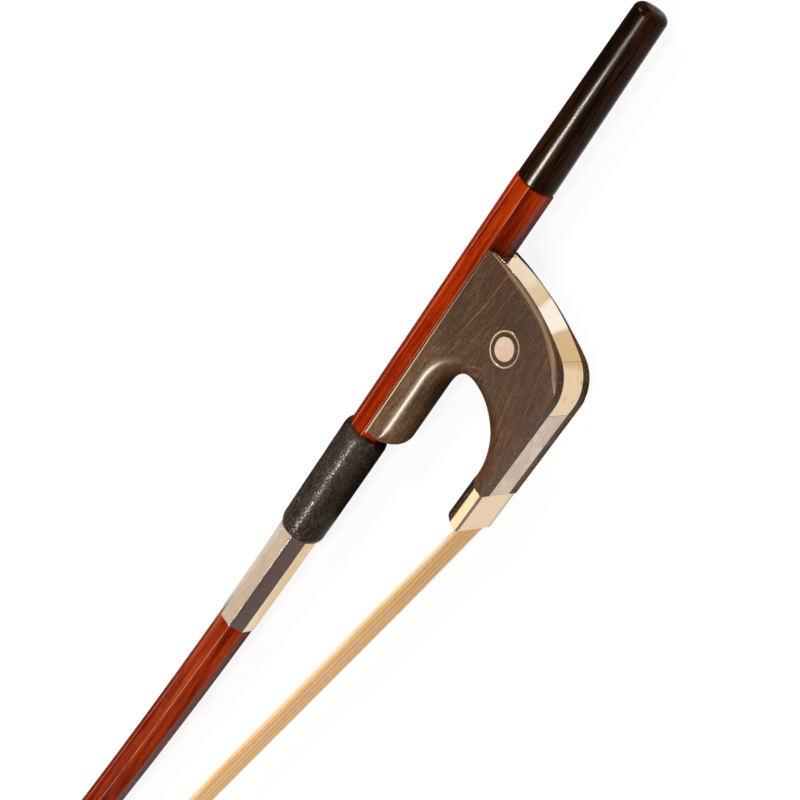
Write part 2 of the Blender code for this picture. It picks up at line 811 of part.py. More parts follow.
def button(finish, parent):
    """The turned wooden button, hollow at its front for the stick's nipple."""
    front = stick_end + 0.15 * mm
    back = front + button_length
    side = back - button_end_rounding
    end_radius = button_end_diameter / 2.0
    profile = [(front, button_base_diameter / 2.0 - 0.2 * mm), (front + 0.25 * mm, button_base_diameter / 2.0)]
    profile += [(blend(front, side, i / 6.0), blend(button_base_diameter / 2.0, end_radius, i / 6.0))
                for i in range(1, 7)]
    flat = end_radius - button_end_rounding
    for i in range(1, 9):
        angle = math.radians(90.0 * i / 8.0)
        profile.append((side + (button_end_rounding - button_crown) * math.sin(angle),
                        flat + button_end_rounding * math.cos(angle)))
    for share in (0.75, 0.5, 0.25, 0.05):
        profile.append((back - button_crown * share ** 2, flat * share))
    made = mesh_object("button", turned(profile, 48), finish, parent)
    socket = nipple_diameter / 2.0 + slide_gap
    bore = screw_diameter / 2.0 + glue_gap
    depth = stick_end + nipple_length + slide_gap
    hollow = turned([(front - 1.0 * mm, socket), (depth, socket), (depth + 0.01 * mm, bore),
                     (stick_end + screw_in_button + glue_gap, bore)], 24)
    cut(made, "button_bore", hollow, parent)


def screw(finish, parent):
    """The long screw, from the button through the eyelet in the stick."""
    radius = screw_diameter / 2.0
    end = eyelet_place - screw_reach
    tail = stick_end + screw_in_button
    profile = [(end, radius * 0.6), (end + 0.8 * mm, radius), (tail, radius)]
    mesh_object("screw", turned(profile, 24), finish, parent)


def eyelet(finish, parent):
    """The brass eyelet: a block on the screw and a shank down into the frog."""
    half_length = eyelet_length / 2.0
    half_width = eyelet_width / 2.0
    foot = -stick_flats / 2.0 - slide_gap - liner_thickness
    x = eyelet_place
    shape = box((x - half_length, foot, -half_width), (x + half_length, eyelet_rise, half_width))
    rim = [e for e in shape.edges if all(v.co.y > 0.0 for v in e.verts)]
    bmesh.ops.bevel(shape, geom=rim, offset=0.6 * mm, segments=2, affect="EDGES")
    made = mesh_object("eyelet", shape, finish, parent)
    shank = disc(eyelet_shank_diameter / 2.0, -eyelet_shank_depth, 1.0 * mm, 24)
    upright = Matrix.Translation((x, foot, 0.0)) @ Matrix.Rotation(math.radians(-90.0), 4, "X")
    boolean(made, mesh_object("eyelet_shank", placed(shank, upright), None, parent), "UNION")
    bore = screw_diameter / 2.0 + 0.15 * mm
    cut(made, "eyelet_thread", turned([(x - half_length - mm, bore), (x + half_length + mm, bore)], 24), parent)


def underslide(finish, parent):
    """The bent metal lining, its eyelet hole and its two pins."""
    top = frog_top + liner_rise
    inner = liner_profile(slide_gap, top)
    outer = liner_profile(slide_gap + liner_thickness, top)
    section = outer + inner[::-1]
    front = -tongue_length + 0.5 * mm
    made = mesh_object("underslide", extrude_along(section, front, -0.15 * mm), finish, parent)
    hole = box((eyelet_place - eyelet_length / 2.0 - glue_gap, -12.0 * mm, -eyelet_width / 2.0 - glue_gap),
               (eyelet_place + eyelet_length / 2.0 + glue_gap, 0.0, eyelet_width / 2.0 + glue_gap))
    cut(made, "underslide_hole", hole, parent)
    foot = -stick_flats / 2.0 - slide_gap
    for number, x in enumerate(liner_pin_places, 1):
        upright = Matrix.Translation((x, foot, 0.0)) @ Matrix.Rotation(math.radians(90.0), 4, "X")
        pin = disc(liner_pin_diameter / 2.0, 0.05 * mm, liner_pin_length, 20)
        mesh_object("underslide_pin_%d" % number, placed(pin, upright), finish, parent)
        hole = disc(liner_pin_diameter / 2.0 + glue_gap, -mm, liner_pin_length + glue_gap, 20)
        tool = mesh_object("pin_hole_%d" % number, placed(hole, upright), None, parent)
        boolean(made, tool)
        yield tool


def frog(finishes, parent):
    """The frog's wood and everything let into it."""
    body = frog_body(finishes["frog"], parent)
    boolean(body, ferrule_tenon(parent), "UNION")

    liner_seat = slide_gap + liner_thickness + glue_gap
    seat = liner_profile(liner_seat, 2.0 * mm)
    groove = mesh_object("stick_groove", extrude_along(seat, -tongue_length - mm, mm), None, parent)
    boolean(body, groove)

    rows = strip_rows()
    trench_end = [((strip_end - glue_gap, frog_bottom), Vector((0.0, 1.0)))]
    trench_rows = trench_end + rows[1:] + [((0.0, frog_top + mm), Vector((-1.0, 0.0)))]
    trench = strip_solid(trench_rows, -mm, strip_thickness + glue_gap, strip_width / 2.0 + glue_gap)
    cut(body, "strip_trench", trench, parent)
    low, high = split_rows(rows, frog_bottom + seam_rise, glue_gap)
    for name, part in (("heel_plate_bottom", low), ("heel_plate_back", high)):
        plate = strip_solid(part, 0.0, strip_thickness, strip_width / 2.0)
        boolean(mesh_object(name, plate, finishes["gold"], parent), groove)
    plate = bpy.data.objects["heel_plate_bottom"]
    arc_start = heel_centre()[0][0]
    for number, (x, z) in enumerate(heel_pin_places, 1):
        upright = heel_matrix(arc_start + x, z)
        pin = disc(heel_pin_diameter / 2.0, -0.05 * mm, heel_pin_length, 20)
        mesh_object("heel_pin_%d" % number, placed(pin, upright), finishes["gold"], parent)
        hole = disc(heel_pin_diameter / 2.0 + glue_gap / 2.0, -mm, heel_pin_length + glue_gap, 20)
        tool = mesh_object("heel_pin_hole_%d" % number, placed(hole, upright), None, parent)
        boolean(body, tool)
        boolean(plate, tool)

    pearl_half = strip_width / 2.0
    front = ferrule_back + glue_gap
    pearl = box((front, frog_bottom, -pearl_half),
                (strip_end - glue_gap, frog_bottom + pearl_thickness - glue_gap, pearl_half))
    mesh_object("pearl_slide", pearl, finishes["pearl"], parent)
    section = slide_section(0.0)
    slide_back = strip_end - 0.5 * mm
    mesh_object("slide", extrude_along(section, front, slide_back), finishes["frog"], parent)
    open_front = ferrule_back - mm
    cut(body, "slide_channel", extrude_along(slide_section(glue_gap), open_front, slide_back + glue_gap), parent)
    cut(body, "pearl_channel", box((open_front, frog_bottom - mm, -pearl_half - glue_gap),
                                   (strip_end, frog_bottom + pearl_thickness + glue_gap, pearl_half + glue_gap)),
        parent)
    hair_half = hair_width / 2.0 + glue_gap
    mortise_end = frog_mortise_start + frog_mortise_length
    cut(body, "hair_channel", box((open_front, slide_floor - mm, -hair_half),
                                  (mortise_end, tenon_floor, hair_half)), parent)
    mortise_half = frog_mortise_width / 2.0
    mortise_top = slide_floor + frog_mortise_depth
    cut(body, "frog_mortise", box((frog_mortise_start, slide_floor - mm, -mortise_half),
                                  (mortise_end, mortise_top, mortise_half)), parent)

    knot_half = mortise_half - 1.2 * mm
    knot_low = slide_floor + glue_gap + hair_thickness + 0.6 * mm
    knot_back = frog_mortise_start + glue_gap + knot_length
    knot = box((frog_mortise_start + glue_gap, knot_low, -knot_half), (knot_back, mortise_top - glue_gap, knot_half))
    bmesh.ops.bevel(knot, geom=knot.edges[:], offset=0.9 * mm, segments=3, affect="EDGES")
    mesh_object("frog_hair_knot", knot, finishes["hair"], parent)
    plug = box((knot_back + glue_gap, slide_floor + glue_gap, -mortise_half + glue_gap),
               (mortise_end - glue_gap, mortise_top - glue_gap, mortise_half - glue_gap))
    mesh_object("frog_plug", plug, finishes["block"], parent)

    wedge_top = tenon_floor - glue_gap
    wedge_half = hair_width / 2.0
    back_low = wedge_top - 0.7 * mm
    front_low = hair_exit_height + hair_thickness / 2.0 + glue_gap
    wedge_back = ferrule_back - 7.5 * mm
    outline = [(ferrule_front - 0.3 * mm, wedge_top), (ferrule_front - 0.3 * mm, front_low),
               (wedge_back, min(back_low, wedge_top - 0.3 * mm)), (wedge_back, wedge_top)]
    mesh_object("spread_wedge", extrude_across(outline, -wedge_half, wedge_half), finishes["block"], parent)

    for name, side in (("left", 1.0), ("right", -1.0)):
        frame = eye_matrix(side)
        inner = eye_ring_radius - eye_ring_band
        ring = band(eye_ring_radius, inner, -eye_ring_depth, 0.0)
        mesh_object("eye_ring_" + name, placed(ring, frame), finishes["gold"], parent)
        seat = band(eye_ring_radius + glue_gap / 2.0, inner - glue_gap / 2.0, -eye_ring_depth - glue_gap, mm)
        cut(body, "eye_ring_seat_" + name, placed(seat, frame), parent)
        pearl = disc(eye_pearl_radius, -eye_pearl_depth, 0.05 * mm)
        mesh_object("eye_pearl_" + name, placed(pearl, frame), finishes["pearl"], parent)
        seat = disc(eye_pearl_radius + glue_gap, -eye_pearl_depth - glue_gap, mm)
        cut(body, "eye_pearl_seat_" + name, placed(seat, frame), parent)

    shank = disc(eyelet_shank_diameter / 2.0 + glue_gap, -eyelet_shank_depth - glue_gap, 2.0 * mm, 24)
    foot = -stick_flats / 2.0 - slide_gap - liner_thickness
    upright = Matrix.Translation((eyelet_place, foot, 0.0)) @ Matrix.Rotation(math.radians(-90.0), 4, "X")
    cut(body, "eyelet_seat", placed(shank, upright), parent)
    for tool in underslide(finishes["gold"], parent):
        boolean(body, tool)
    eyelet(finishes["brass"], parent)
    ferrule(finishes["gold"], parent)


def head_inserts(finishes, parent):
    """The knot and the plug that fill the head's mortise."""
    half = tip_mortise_width / 2.0
    roof = tip_mortise_depth + plate_thickness
    start = 2.2 * mm
    knot = box((glue_gap, 4.2 * mm, -half + 0.8 * mm), (start + 2.6 * mm, roof - glue_gap, half - 0.8 * mm))
    bmesh.ops.bevel(knot, geom=knot.edges[:], offset=0.8 * mm, segments=3, affect="EDGES")
    mesh_object("tip_hair_knot", placed(knot, head_matrix), finishes["hair"], parent)
    plug = box((start + 2.8 * mm, 0.3 * mm, -half + glue_gap),
               (tip_mortise_length - glue_gap, roof - glue_gap, half - glue_gap))
    mesh_object("tip_plug", placed(plug, head_matrix), finishes["block"], parent)


def world_box(names):
    """Lowest and highest corners of the finished pieces."""
    bpy.context.view_layer.update()
    graph = bpy.context.evaluated_depsgraph_get()
    corners = []
    for name in names:
        made = bpy.data.objects[name].evaluated_get(graph)
        corners += [made.matrix_world @ v.co for v in made.data.vertices]
    low = [min(c[i] for c in corners) for i in range(3)]
    high = [max(c[i] for c in corners) for i in range(3)]
    return low, high


def main():
    for old in list(bpy.data.objects):
        bpy.data.objects.remove(old, do_unlink=True)

    finishes = {
        "stick": material("pernambuco", (0.36, 0.075, 0.022), 0.22),
        "frog": material("frog_wood", (0.075, 0.048, 0.034), 0.34),
        "button": material("ebony", (0.018, 0.013, 0.011), 0.3),
        "gold": material("pale_gold", (0.78, 0.66, 0.42), 0.16, 1.0),
        "brass": material("brass", (0.72, 0.52, 0.22), 0.3, 1.0),
        "steel": material("steel", (0.55, 0.55, 0.56), 0.3, 1.0),
        "pearl": material("pearl", (0.74, 0.66, 0.6), 0.2),
        "leather": material("leather", (0.02, 0.019, 0.018), 0.55),
        "wire": material("silver_wire", (0.74, 0.7, 0.62), 0.28, 1.0),
        "hair": material("horsehair", (0.66, 0.5, 0.3), 0.45),
        "block": material("maple", (0.62, 0.45, 0.27), 0.6),
        "tip_plate": material("tip_bone", (0.82, 0.78, 0.68), 0.35),
        "tip_plate_liner": material("liner_ebony", (0.02, 0.016, 0.014), 0.4),
    }

    bow = bpy.data.objects.new("bow", None)
    carriage = bpy.data.objects.new("frog_carriage", None)
    spindle = bpy.data.objects.new("screw_axis", None)
    for empty in (bow, carriage, spindle):
        bpy.context.scene.collection.objects.link(empty)
    carriage.parent = bow
    spindle.parent = bow

    stick(finishes["stick"], bow)
    head_leaves(finishes, bow)
    head_inserts(finishes, bow)
    grip(finishes, bow)
    hair_ribbon(finishes["hair"], bow)
    frog(finishes, carriage)
    screw(finishes["steel"], spindle)
    button(finishes["button"], spindle)

    names = [o.name for o in bpy.data.objects if o.type == "MESH" and not o.hide_render]
    low, high = world_box(names)
    bow.location = (-(low[0] + high[0]) / 2.0, -(low[1] + high[1]) / 2.0, -low[2])
    bpy.context.view_layer.update()
    size = [(high[i] - low[i]) / mm for i in range(3)]
    print("pieces", len(names), "size in mm", [round(s, 2) for s in size])
    print("frog back tip on the stick's axis at, in m", [round(v, 6) for v in bow.location])


main()
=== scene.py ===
import json
import math
import random

import bmesh
import bpy
from mathutils import Matrix, Vector

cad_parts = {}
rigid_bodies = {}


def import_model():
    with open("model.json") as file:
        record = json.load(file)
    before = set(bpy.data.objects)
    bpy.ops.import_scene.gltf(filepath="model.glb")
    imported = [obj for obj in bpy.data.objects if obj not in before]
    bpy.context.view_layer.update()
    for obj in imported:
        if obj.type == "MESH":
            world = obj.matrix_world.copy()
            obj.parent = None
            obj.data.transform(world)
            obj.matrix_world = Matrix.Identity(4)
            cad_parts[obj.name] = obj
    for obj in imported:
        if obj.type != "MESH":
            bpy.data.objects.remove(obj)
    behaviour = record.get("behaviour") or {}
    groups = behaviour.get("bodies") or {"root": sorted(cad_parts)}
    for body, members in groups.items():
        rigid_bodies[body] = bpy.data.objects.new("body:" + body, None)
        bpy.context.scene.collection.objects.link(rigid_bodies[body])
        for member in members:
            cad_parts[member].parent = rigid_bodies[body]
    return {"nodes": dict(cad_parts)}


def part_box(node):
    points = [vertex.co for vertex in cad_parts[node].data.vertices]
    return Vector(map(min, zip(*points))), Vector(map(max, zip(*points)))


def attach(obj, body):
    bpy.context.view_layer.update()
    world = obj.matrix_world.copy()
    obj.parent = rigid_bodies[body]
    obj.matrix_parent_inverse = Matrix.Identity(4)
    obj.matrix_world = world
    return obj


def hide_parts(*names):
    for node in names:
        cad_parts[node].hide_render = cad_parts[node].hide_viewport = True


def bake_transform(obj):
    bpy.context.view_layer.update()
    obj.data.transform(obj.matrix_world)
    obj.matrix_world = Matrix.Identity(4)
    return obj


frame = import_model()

bpy.context.view_layer.update()
print("frame loaded:", len(frame["nodes"]), "nodes")

mm = 0.001

# The drawing's own zero: the stick's axis at the frog's back tip
screwLow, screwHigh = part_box("screw")
zero = Vector((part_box("frog_body")[1].x, (screwLow.y + screwHigh.y) / 2, (screwLow.z + screwHigh.z) / 2))

# The handle's octagon, its taper under the wire and the camber beyond, in mm
handle = {"flats": 12.8, "lappedFlats": 12.35, "taperStart": -85.0, "neckStart": -175.0,
          "camberStart": -100.0, "camberRadius": 2950.0}


def spot(x, y, z=0.0):
    return zero + Vector((x, y, z)) * mm


def easeInOut(t):
    t = min(max(t, 0.0), 1.0)
    return t * t * (3 - 2 * t)


def mixed(a, b, t):
    return a + (b - a) * t


# Shader helpers

class Flow:
    # A node's output that can be used in sums, as if it were a number
    def __init__(self, recipe, socket):
        self.recipe = recipe
        self.socket = socket

    def sum(self, operation, *others):
        values = {i + 1: other for i, other in enumerate(others)}
        return self.recipe.node("ShaderNodeMath", {"operation": operation}, {0: self, **values}).out()

    def __add__(self, other):
        return self.sum("ADD", other)

    def __sub__(self, other):
        return self.sum("SUBTRACT", other)

    def __rsub__(self, other):
        return self.sum("MULTIPLY_ADD", -1.0, other)

    def __mul__(self, other):
        return self.sum("MULTIPLY", other)

    def __pow__(self, other):
        return self.sum("POWER", other)

    __radd__ = __add__
    __rmul__ = __mul__

    def size(self):
        return self.sum("ABSOLUTE")

    def most(self, other):
        return self.sum("MAXIMUM", other)

    def least(self, other):
        return self.sum("MINIMUM", other)

    def between(self, low, high):
        # 0 below low, 1 above high, eased between them
        span = self.recipe.node("ShaderNodeMapRange", {"interpolation_type": "SMOOTHSTEP"},
                                {"Value": self, "From Min": low, "From Max": high})
        return span.out()

    def near(self, centre, full, gone):
        # 1 up to the first distance from the centre, 0 beyond the second
        return 1 - (self - centre).size().between(full, gone)


class Made:
    # A placed node, with its outputs by name
    def __init__(self, recipe, node):
        self.recipe = recipe
        self.node = node

    def out(self, name=0):
        return Flow(self.recipe, self.node.outputs[name])


class Recipe:
    # One material and its principled shader
    def __init__(self, name, colour, roughness, metallic=0.0, **plain):
        self.material = bpy.data.materials.new(name)
        self.material.use_nodes = True
        self.tree = self.material.node_tree
        self.shader = self.tree.nodes["Principled BSDF"]
        self.set("Base Color", (*colour, 1.0))
        self.set("Roughness", roughness)
        self.set("Metallic", metallic)
        self.material.diffuse_color = (*colour, 1.0)
        for key, value in plain.items():
            self.set(key.replace("_", " "), value)

    def set(self, name, value):
        self.feed(self.shader.inputs[name], value)

    def feed(self, socket, value):
        if isinstance(value, Flow):
            self.tree.links.new(value.socket, socket)
        elif hasattr(socket.default_value, "__len__") and len(value) == 3 and len(socket.default_value) == 4:
            socket.default_value = (*value, 1.0)
        else:
            socket.default_value = value

    def node(self, kind, settings=None, inputs=None):
        made = self.tree.nodes.new(kind)
        for key, value in (settings or {}).items():
            if key == "stops":
                ramp = made.color_ramp
                while len(ramp.elements) < len(value):
                    ramp.elements.new(0.5)
                for element, (place, colour) in zip(ramp.elements, value):
                    element.position = place
                    element.color = (*colour, 1.0)
            else:
                setattr(made, key, value)
        for key, value in (inputs or {}).items():
            self.feed(made.inputs[key], value)
        return Made(self, made)

    def place(self, centre=None, turn=(0.0, 0.0, 0.0), scale=(1.0, 1.0, 1.0)):
        # Object coordinates in millimetres from a point, turned and stretched
        coordinates = self.node("ShaderNodeTexCoord").out("Object")
        moved = self.node("ShaderNodeVectorMath", {"operation": "SUBTRACT"},
                          {0: coordinates, 1: tuple(centre or zero)}).out()
        turned = self.node("ShaderNodeMapping", {"vector_type": "POINT"},
                           {"Vector": moved, "Rotation": turn, "Scale": (1000.0, 1000.0, 1000.0)}).out()
        return self.node("ShaderNodeVectorMath", {"operation": "MULTIPLY"}, {0: turned, 1: scale}).out()

    def split(self, vector):
        parts = self.node("ShaderNodeSeparateXYZ", None, {0: vector})
        return parts.out("X"), parts.out("Y"), parts.out("Z")

    def join(self, x, y, z):
        return self.node("ShaderNodeCombineXYZ", None, {"X": x, "Y": y, "Z": z}).out()

    def noise(self, vector, scale=1.0, detail=3.0, roughness=0.5, distortion=0.0):
        return self.node("ShaderNodeTexNoise", None, {
            "Vector": vector, "Scale": scale, "Detail": detail, "Roughness": roughness,
            "Distortion": distortion}).out("Fac")

    def grain(self, stretch, detail=2.0, roughness=0.5, distortion=0.0):
        # Noise with its own number of turns per millimetre along each axis
        return self.noise(self.place(scale=stretch), 1.0, detail, roughness, distortion)

    def colours(self, factor, *stops):
        return self.node("ShaderNodeValToRGB", {"stops": stops}, {"Fac": factor}).out("Color")

    def mix(self, factor, first, second):
        node = self.tree.nodes.new("ShaderNodeMix")
        node.data_type = "RGBA"
        self.feed(node.inputs[0], factor)
        self.feed(node.inputs[6], first)
        self.feed(node.inputs[7], second)
        return Flow(self, node.outputs[2])

    def bump(self, height, depth):
        lifted = self.node("ShaderNodeBump", None, {"Height": height, "Distance": depth, "Strength": 1.0})
        self.set("Normal", lifted.out("Normal"))


# Finishes. Places in them are in mm from the drawing's zero

pernambucoLook = {
    "dark": (0.060, 0.0014, 0.0002), "middle": (0.24, 0.0125, 0.0003), "bright": (0.44, 0.043, 0.0010),
    "speckAndHighlight": (0.75, 0.42, 0.30), "roughness": 0.06, "roughened": 0.10, "specular": 0.06, "pores": 0.75,
    # Darker beyond the wire: from where, over what length, how much
    "shadeFrom": -150.0, "shadeOver": 70.0, "shade": 0.26,
    # Chipped by the leather and by the button: where, full to, gone from
    "byLeather": (-76.5, 1.5, 9.0), "byButton": (23.0, 1.0, 5.0), "flecksFrom": (-78.0, -60.0),
    # Half the corner's turn as a slope, the painted highlight line's width, where it starts, how strong
    "cornerSlope": 0.4142, "lineWidth": (0.05, 0.26), "lineStart": (-560.0, -500.0), "line": 0.42,
}


def pernambuco():
    look = pernambucoLook
    r = Recipe("pernambuco", look["middle"], look["roughness"], Specular_IOR_Level=look["specular"])
    x, y, z = r.split(r.place())
    streaks = r.grain((0.018, 0.55, 0.55), 4.0, 0.62, 0.35)
    fine = r.grain((0.06, 3.2, 3.2), 2.0, 0.6)
    broad = r.grain((0.012, 0.12, 0.12))
    tone = (streaks * 0.60 + fine * 0.28 + broad * 0.26).between(0.42, 0.72)
    wood = r.colours(tone, (0.0, look["dark"]), (0.42, look["middle"]), (1.0, look["bright"]))
    pores = r.grain((0.35, 7.0, 7.0), 1.0).between(0.60, 0.70)
    wood = r.mix(pores * look["pores"], wood, look["dark"])
    wood = r.mix((look["shadeFrom"] - x).between(0.0, look["shadeOver"]) * look["shade"], wood, look["dark"])
    # Small worn specks
    chips = r.grain((0.9, 1.5, 1.5), 2.0, 0.7).between(0.70, 0.74)
    chips = chips * (x.near(*look["byLeather"]) * 0.9 + x.near(*look["byButton"]) * 0.5)
    flecks = r.grain((1.2, 2.6, 2.6), 1.0).between(0.765, 0.785) * x.between(*look["flecksFrom"])
    # A painted highlight: a thin pale line along the octagon's corners beside its top and bottom flats
    run = (x * -1.0 + handle["camberStart"]).most(0.0)
    level = (y - run * run * (0.5 / handle["camberRadius"])).size()
    corner = 1 - (z.size() * look["cornerSlope"] - level).size().between(*look["lineWidth"])
    corner = corner * x.between(*look["lineStart"]) * fine.between(0.25, 0.6) * look["line"]
    # Worn specks together with the painted highlight line on the corners
    wearAndHighlight = chips.most(flecks * 0.6).most(corner).least(1.0)
    r.set("Base Color", r.mix(wearAndHighlight, wood, look["speckAndHighlight"]))
    r.set("Roughness", look["roughness"] + fine * look["roughened"])
    r.bump(streaks * 0.3 + pores * -0.6 + fine * 0.3, 0.00004)
    return r.material


frogWoodLook = {
    "dark": (0.032, 0.0108, 0.0030), "middle": (0.066, 0.030, 0.0100), "pale": (0.180, 0.100, 0.050),
    # The rim colour is the painted highlight on the flutes' rims
    "streak": (0.27, 0.085, 0.022), "rim": (0.26, 0.165, 0.100), "roughness": 0.29, "roughened": 0.12,
    "specular": 0.14,
    # The grain's turn towards the ferrule: from what height, over what depth, round what place, how far
    "turnFrom": -12.0, "turnOver": 40.0, "pivot": -40.0, "turn": -0.32, "tilt": 0.07, "wander": 5.0,
    # Long growth rings that climb by the slope, and where they begin: height, full to, gone from
    "longSlope": 0.10, "firstRing": (-14.2, 0.10, 0.34), "secondRing": (-19.5, 0.06, 0.22),
    "longFrom": (-30.0, -22.0),
    # Rings round the throat's top: centre, then distance, full to, gone from
    "throat": (-41.5, -31.5), "innerArc": (12.0, 0.15, 0.60), "outerArc": (14.4, 0.10, 0.40),
    "arcsFrom": (-30.0, -24.0),
    # The swarm of rings over the ferrule
    "fanFrom": -62.0, "fanSlope": -0.21, "swarm": (0.5, 0.008, 0.035), "swarmBelow": -31.0,
}


def frogWood():
    look = frogWoodLook
    r = Recipe("frogWood", look["middle"], look["roughness"], Specular_IOR_Level=look["specular"])
    x, y, z = r.split(r.place())
    # The grain runs along the stick at the top and turns down to the ferrule at the bottom
    lean = (look["turnFrom"] - y).between(0.0, look["turnOver"]) * look["turn"] + look["tilt"]
    bend = r.grain((0.03, 0.05, 0.05)) * look["wander"]
    across = y + (x - look["pivot"]) * lean + bend + z * 0.35
    along = x * 0.06
    grain = r.noise(r.join(along, across * 1.1, z * 0.25), 1.0, 3.0, 0.62)
    hairline = r.noise(r.join(along * 3.0, across * 5.0, z * 1.6), 1.0, 2.0, 0.6)
    dust = r.grain((1.1, 3.6, 3.6), 1.0)
    zones = r.grain((0.05, 0.08, 0.05))
    # Paler towards the tongue, darker towards the heel: a painted sheen
    slope = (x * -0.012 + y * 0.010 - 0.20).least(0.45)
    tone = (grain * 0.34 + hairline * 0.50 + dust * 0.50 + zones * 0.26 + slope * 0.16).between(0.58, 1.06)
    wood = r.colours(tone, (0.0, look["dark"]), (0.5, look["middle"]), (1.0, look["pale"]))
    # Orange growth rings: a few long lines, some round the throat's top, and a swarm over the ferrule
    waver = r.grain((0.10, 0.10, 0.10), 1.0, 0.4) * 1.6
    climb = x.sum("MULTIPLY_ADD", look["longSlope"], y) + waver
    upper = climb.near(*look["firstRing"]).most(climb.near(*look["secondRing"]) * 0.6)
    upper = upper * x.between(*look["longFrom"])
    throatX, throatY = look["throat"]
    reach = (((x - throatX) ** 2.0) + ((y - throatY) ** 2.0)) ** 0.5 + waver
    arcs = reach.near(*look["innerArc"]).most(reach.near(*look["outerArc"]))
    arcs = arcs * y.between(*look["arcsFrom"]) * 0.55
    fan = (x - look["fanFrom"]) * look["fanSlope"] + y + waver
    swarm = r.noise(r.join(x * 0.012, fan * 1.15, z * 0.1), 1.0, 1.0, 0.4)
    lower = swarm.near(*look["swarm"]) * (look["swarmBelow"] - y).between(0.0, 10.0)
    broken = hairline.between(0.30, 0.52)
    streak = (upper * 0.8).most(arcs).most(lower * 0.5) * broken
    wood = r.mix(streak, wood, look["streak"])
    # The flutes' rims, painted paler where their faces slope towards the heel: a painted highlight
    rim = r.node("ShaderNodeAttribute", {"attribute_name": "rimTone"}).out("Fac")
    r.set("Base Color", r.mix(rim * 0.85, wood, look["rim"]))
    r.set("Roughness", look["roughness"] + hairline * look["roughened"])
    r.bump(hairline * 0.5 + dust * 0.5, 0.00003)
    return r.material


ebonyLook = {"dark": (0.004, 0.0018, 0.0008), "pale": (0.042, 0.0135, 0.0034), "roughness": 0.16,
             "roughened": 0.12, "specular": 0.07}


def ebony(name):
    look = ebonyLook
    r = Recipe(name, look["dark"], look["roughness"], Specular_IOR_Level=look["specular"])
    fibres = r.grain((0.10, 2.6, 2.6), 3.0, 0.6)
    broad = r.grain((0.02, 0.3, 0.3))
    r.set("Base Color", r.mix((fibres * 0.6 + broad * 0.4).between(0.42, 0.68), look["dark"], look["pale"]))
    r.set("Roughness", look["roughness"] + fibres * look["roughened"])
    r.bump(fibres, 0.00002)
    return r.material


# Colour, roughness, depth of the waves in metres, and how far scratches roughen it
metalLook = {
    "paleGold": ((0.84, 0.66, 0.45), 0.08, 0.00008, 0.12),
    "dullGold": ((0.70, 0.56, 0.38), 0.11, 0.0, 0.03),
    "eyeletBrass": ((0.72, 0.50, 0.22), 0.28, 0.0, 0.12),
    "screwSteel": ((0.56, 0.56, 0.57), 0.30, 0.0, 0.12),
    "silverWire": ((0.90, 0.79, 0.66), 0.13, 0.0, 0.05),
}
tarnishTint = (0.90, 0.84, 0.74)


def metal(name):
    colour, roughness, waves, scratches = metalLook[name]
    r = Recipe(name, colour, roughness, 1.0)
    rub = r.grain((0.5, 5.0, 5.0), 3.0, 0.65)
    tarnish = r.grain((0.16, 0.16, 0.16), 3.0, 0.6).between(0.45, 0.8)
    darker = tuple(c * f for c, f in zip(colour, tarnishTint))
    r.set("Base Color", r.mix(tarnish * 0.5, colour, darker))
    r.set("Roughness", roughness + rub * scratches + tarnish * 0.05)
    if waves:
        r.bump(r.grain((0.11, 0.11, 0.06), 1.0, 0.4), waves)
    return r.material


eyePearlLook = {
    "rose": (0.62, 0.47, 0.39), "silver": (0.56, 0.46, 0.40), "peach": (0.66, 0.40, 0.24),
    "light": (0.72, 0.63, 0.56), "centre": (-18.35, -28.61, 7.8), "turn": (0.0, 0.0, 35.0),
    "stretch": (0.18, 0.30, 0.2), "peachSide": 0.55,
}
slidePearlLook = {
    "rose": (0.73, 0.58, 0.49), "silver": (0.66, 0.55, 0.48), "peach": (0.78, 0.60, 0.46),
    "light": (0.82, 0.73, 0.65), "centre": (-40.0, -52.5, 0.0), "turn": (0.0, 35.0, 0.0),
    "stretch": (0.10, 0.2, 0.22), "peachSide": 0.0,
}


def pearl(name, look):
    r = Recipe(name, look["rose"], 0.22, Specular_IOR_Level=0.08)
    centre = spot(*look["centre"])
    turn = tuple(math.radians(angle) for angle in look["turn"])
    stretch = look["stretch"]
    finer = tuple(s * f for s, f in zip(stretch, (0.5, 2.6, 1.0)))
    clouds = r.noise(r.place(centre, turn, stretch), 1.0, 3.0, 0.55, 1.4)
    bands = r.noise(r.place(centre, turn, finer), 1.0, 2.0, 0.5, 0.8)
    tone = (clouds * 0.6 + bands * 0.5).between(0.36, 0.74)
    shell = r.colours(tone, (0.0, look["silver"]), (0.45, look["rose"]), (1.0, look["light"]))
    x, y, _ = r.split(r.place(centre))
    glow = (x * -0.55 - y * 0.8).between(-1.5, 3.5) * look["peachSide"]
    shell = r.mix((glow + bands.between(0.5, 0.66) * 0.28).least(1.0), shell, look["peach"])
    r.set("Base Color", shell)
    r.bump(clouds, 0.00003)
    return r.material


leatherLook = {"dark": (0.0022, 0.0010, 0.0004), "wornAndLit": (0.060, 0.035, 0.018), "roughness": 0.32,
               "smoothed": 0.10, "specular": 0.11, "depth": 0.00012}


def leather():
    look = leatherLook
    r = Recipe("leather", look["dark"], look["roughness"], Specular_IOR_Level=look["specular"])
    at = r.place()
    # Fine wrinkles, long and short, painted paler over a dark ground: partly the leather's worn grain,
    # partly painted highlight on the ridges
    wrinkles = r.noise(at, 0.75, 2.0, 0.6, 1.2).near(0.5, 0.0, 0.055)
    creases = r.noise(at, 1.35, 2.0, 0.6, 0.6).near(0.5, 0.0, 0.06)
    fuzz = r.noise(at, 2.6, 2.0, 0.6)
    patches = r.grain((0.12, 0.12, 0.12))
    grain = wrinkles * 0.5 + creases * 0.45 + fuzz * 0.35
    # Worn grain and patches, with painted highlight on the wrinkles
    wornAndLit = (grain * 0.9 + patches * 0.3).between(0.22, 1.05)
    r.set("Base Color", r.mix(wornAndLit, look["dark"], look["wornAndLit"]))
    r.set("Roughness", look["roughness"] - fuzz * look["smoothed"])
    r.bump(grain, look["depth"])
    return r.material


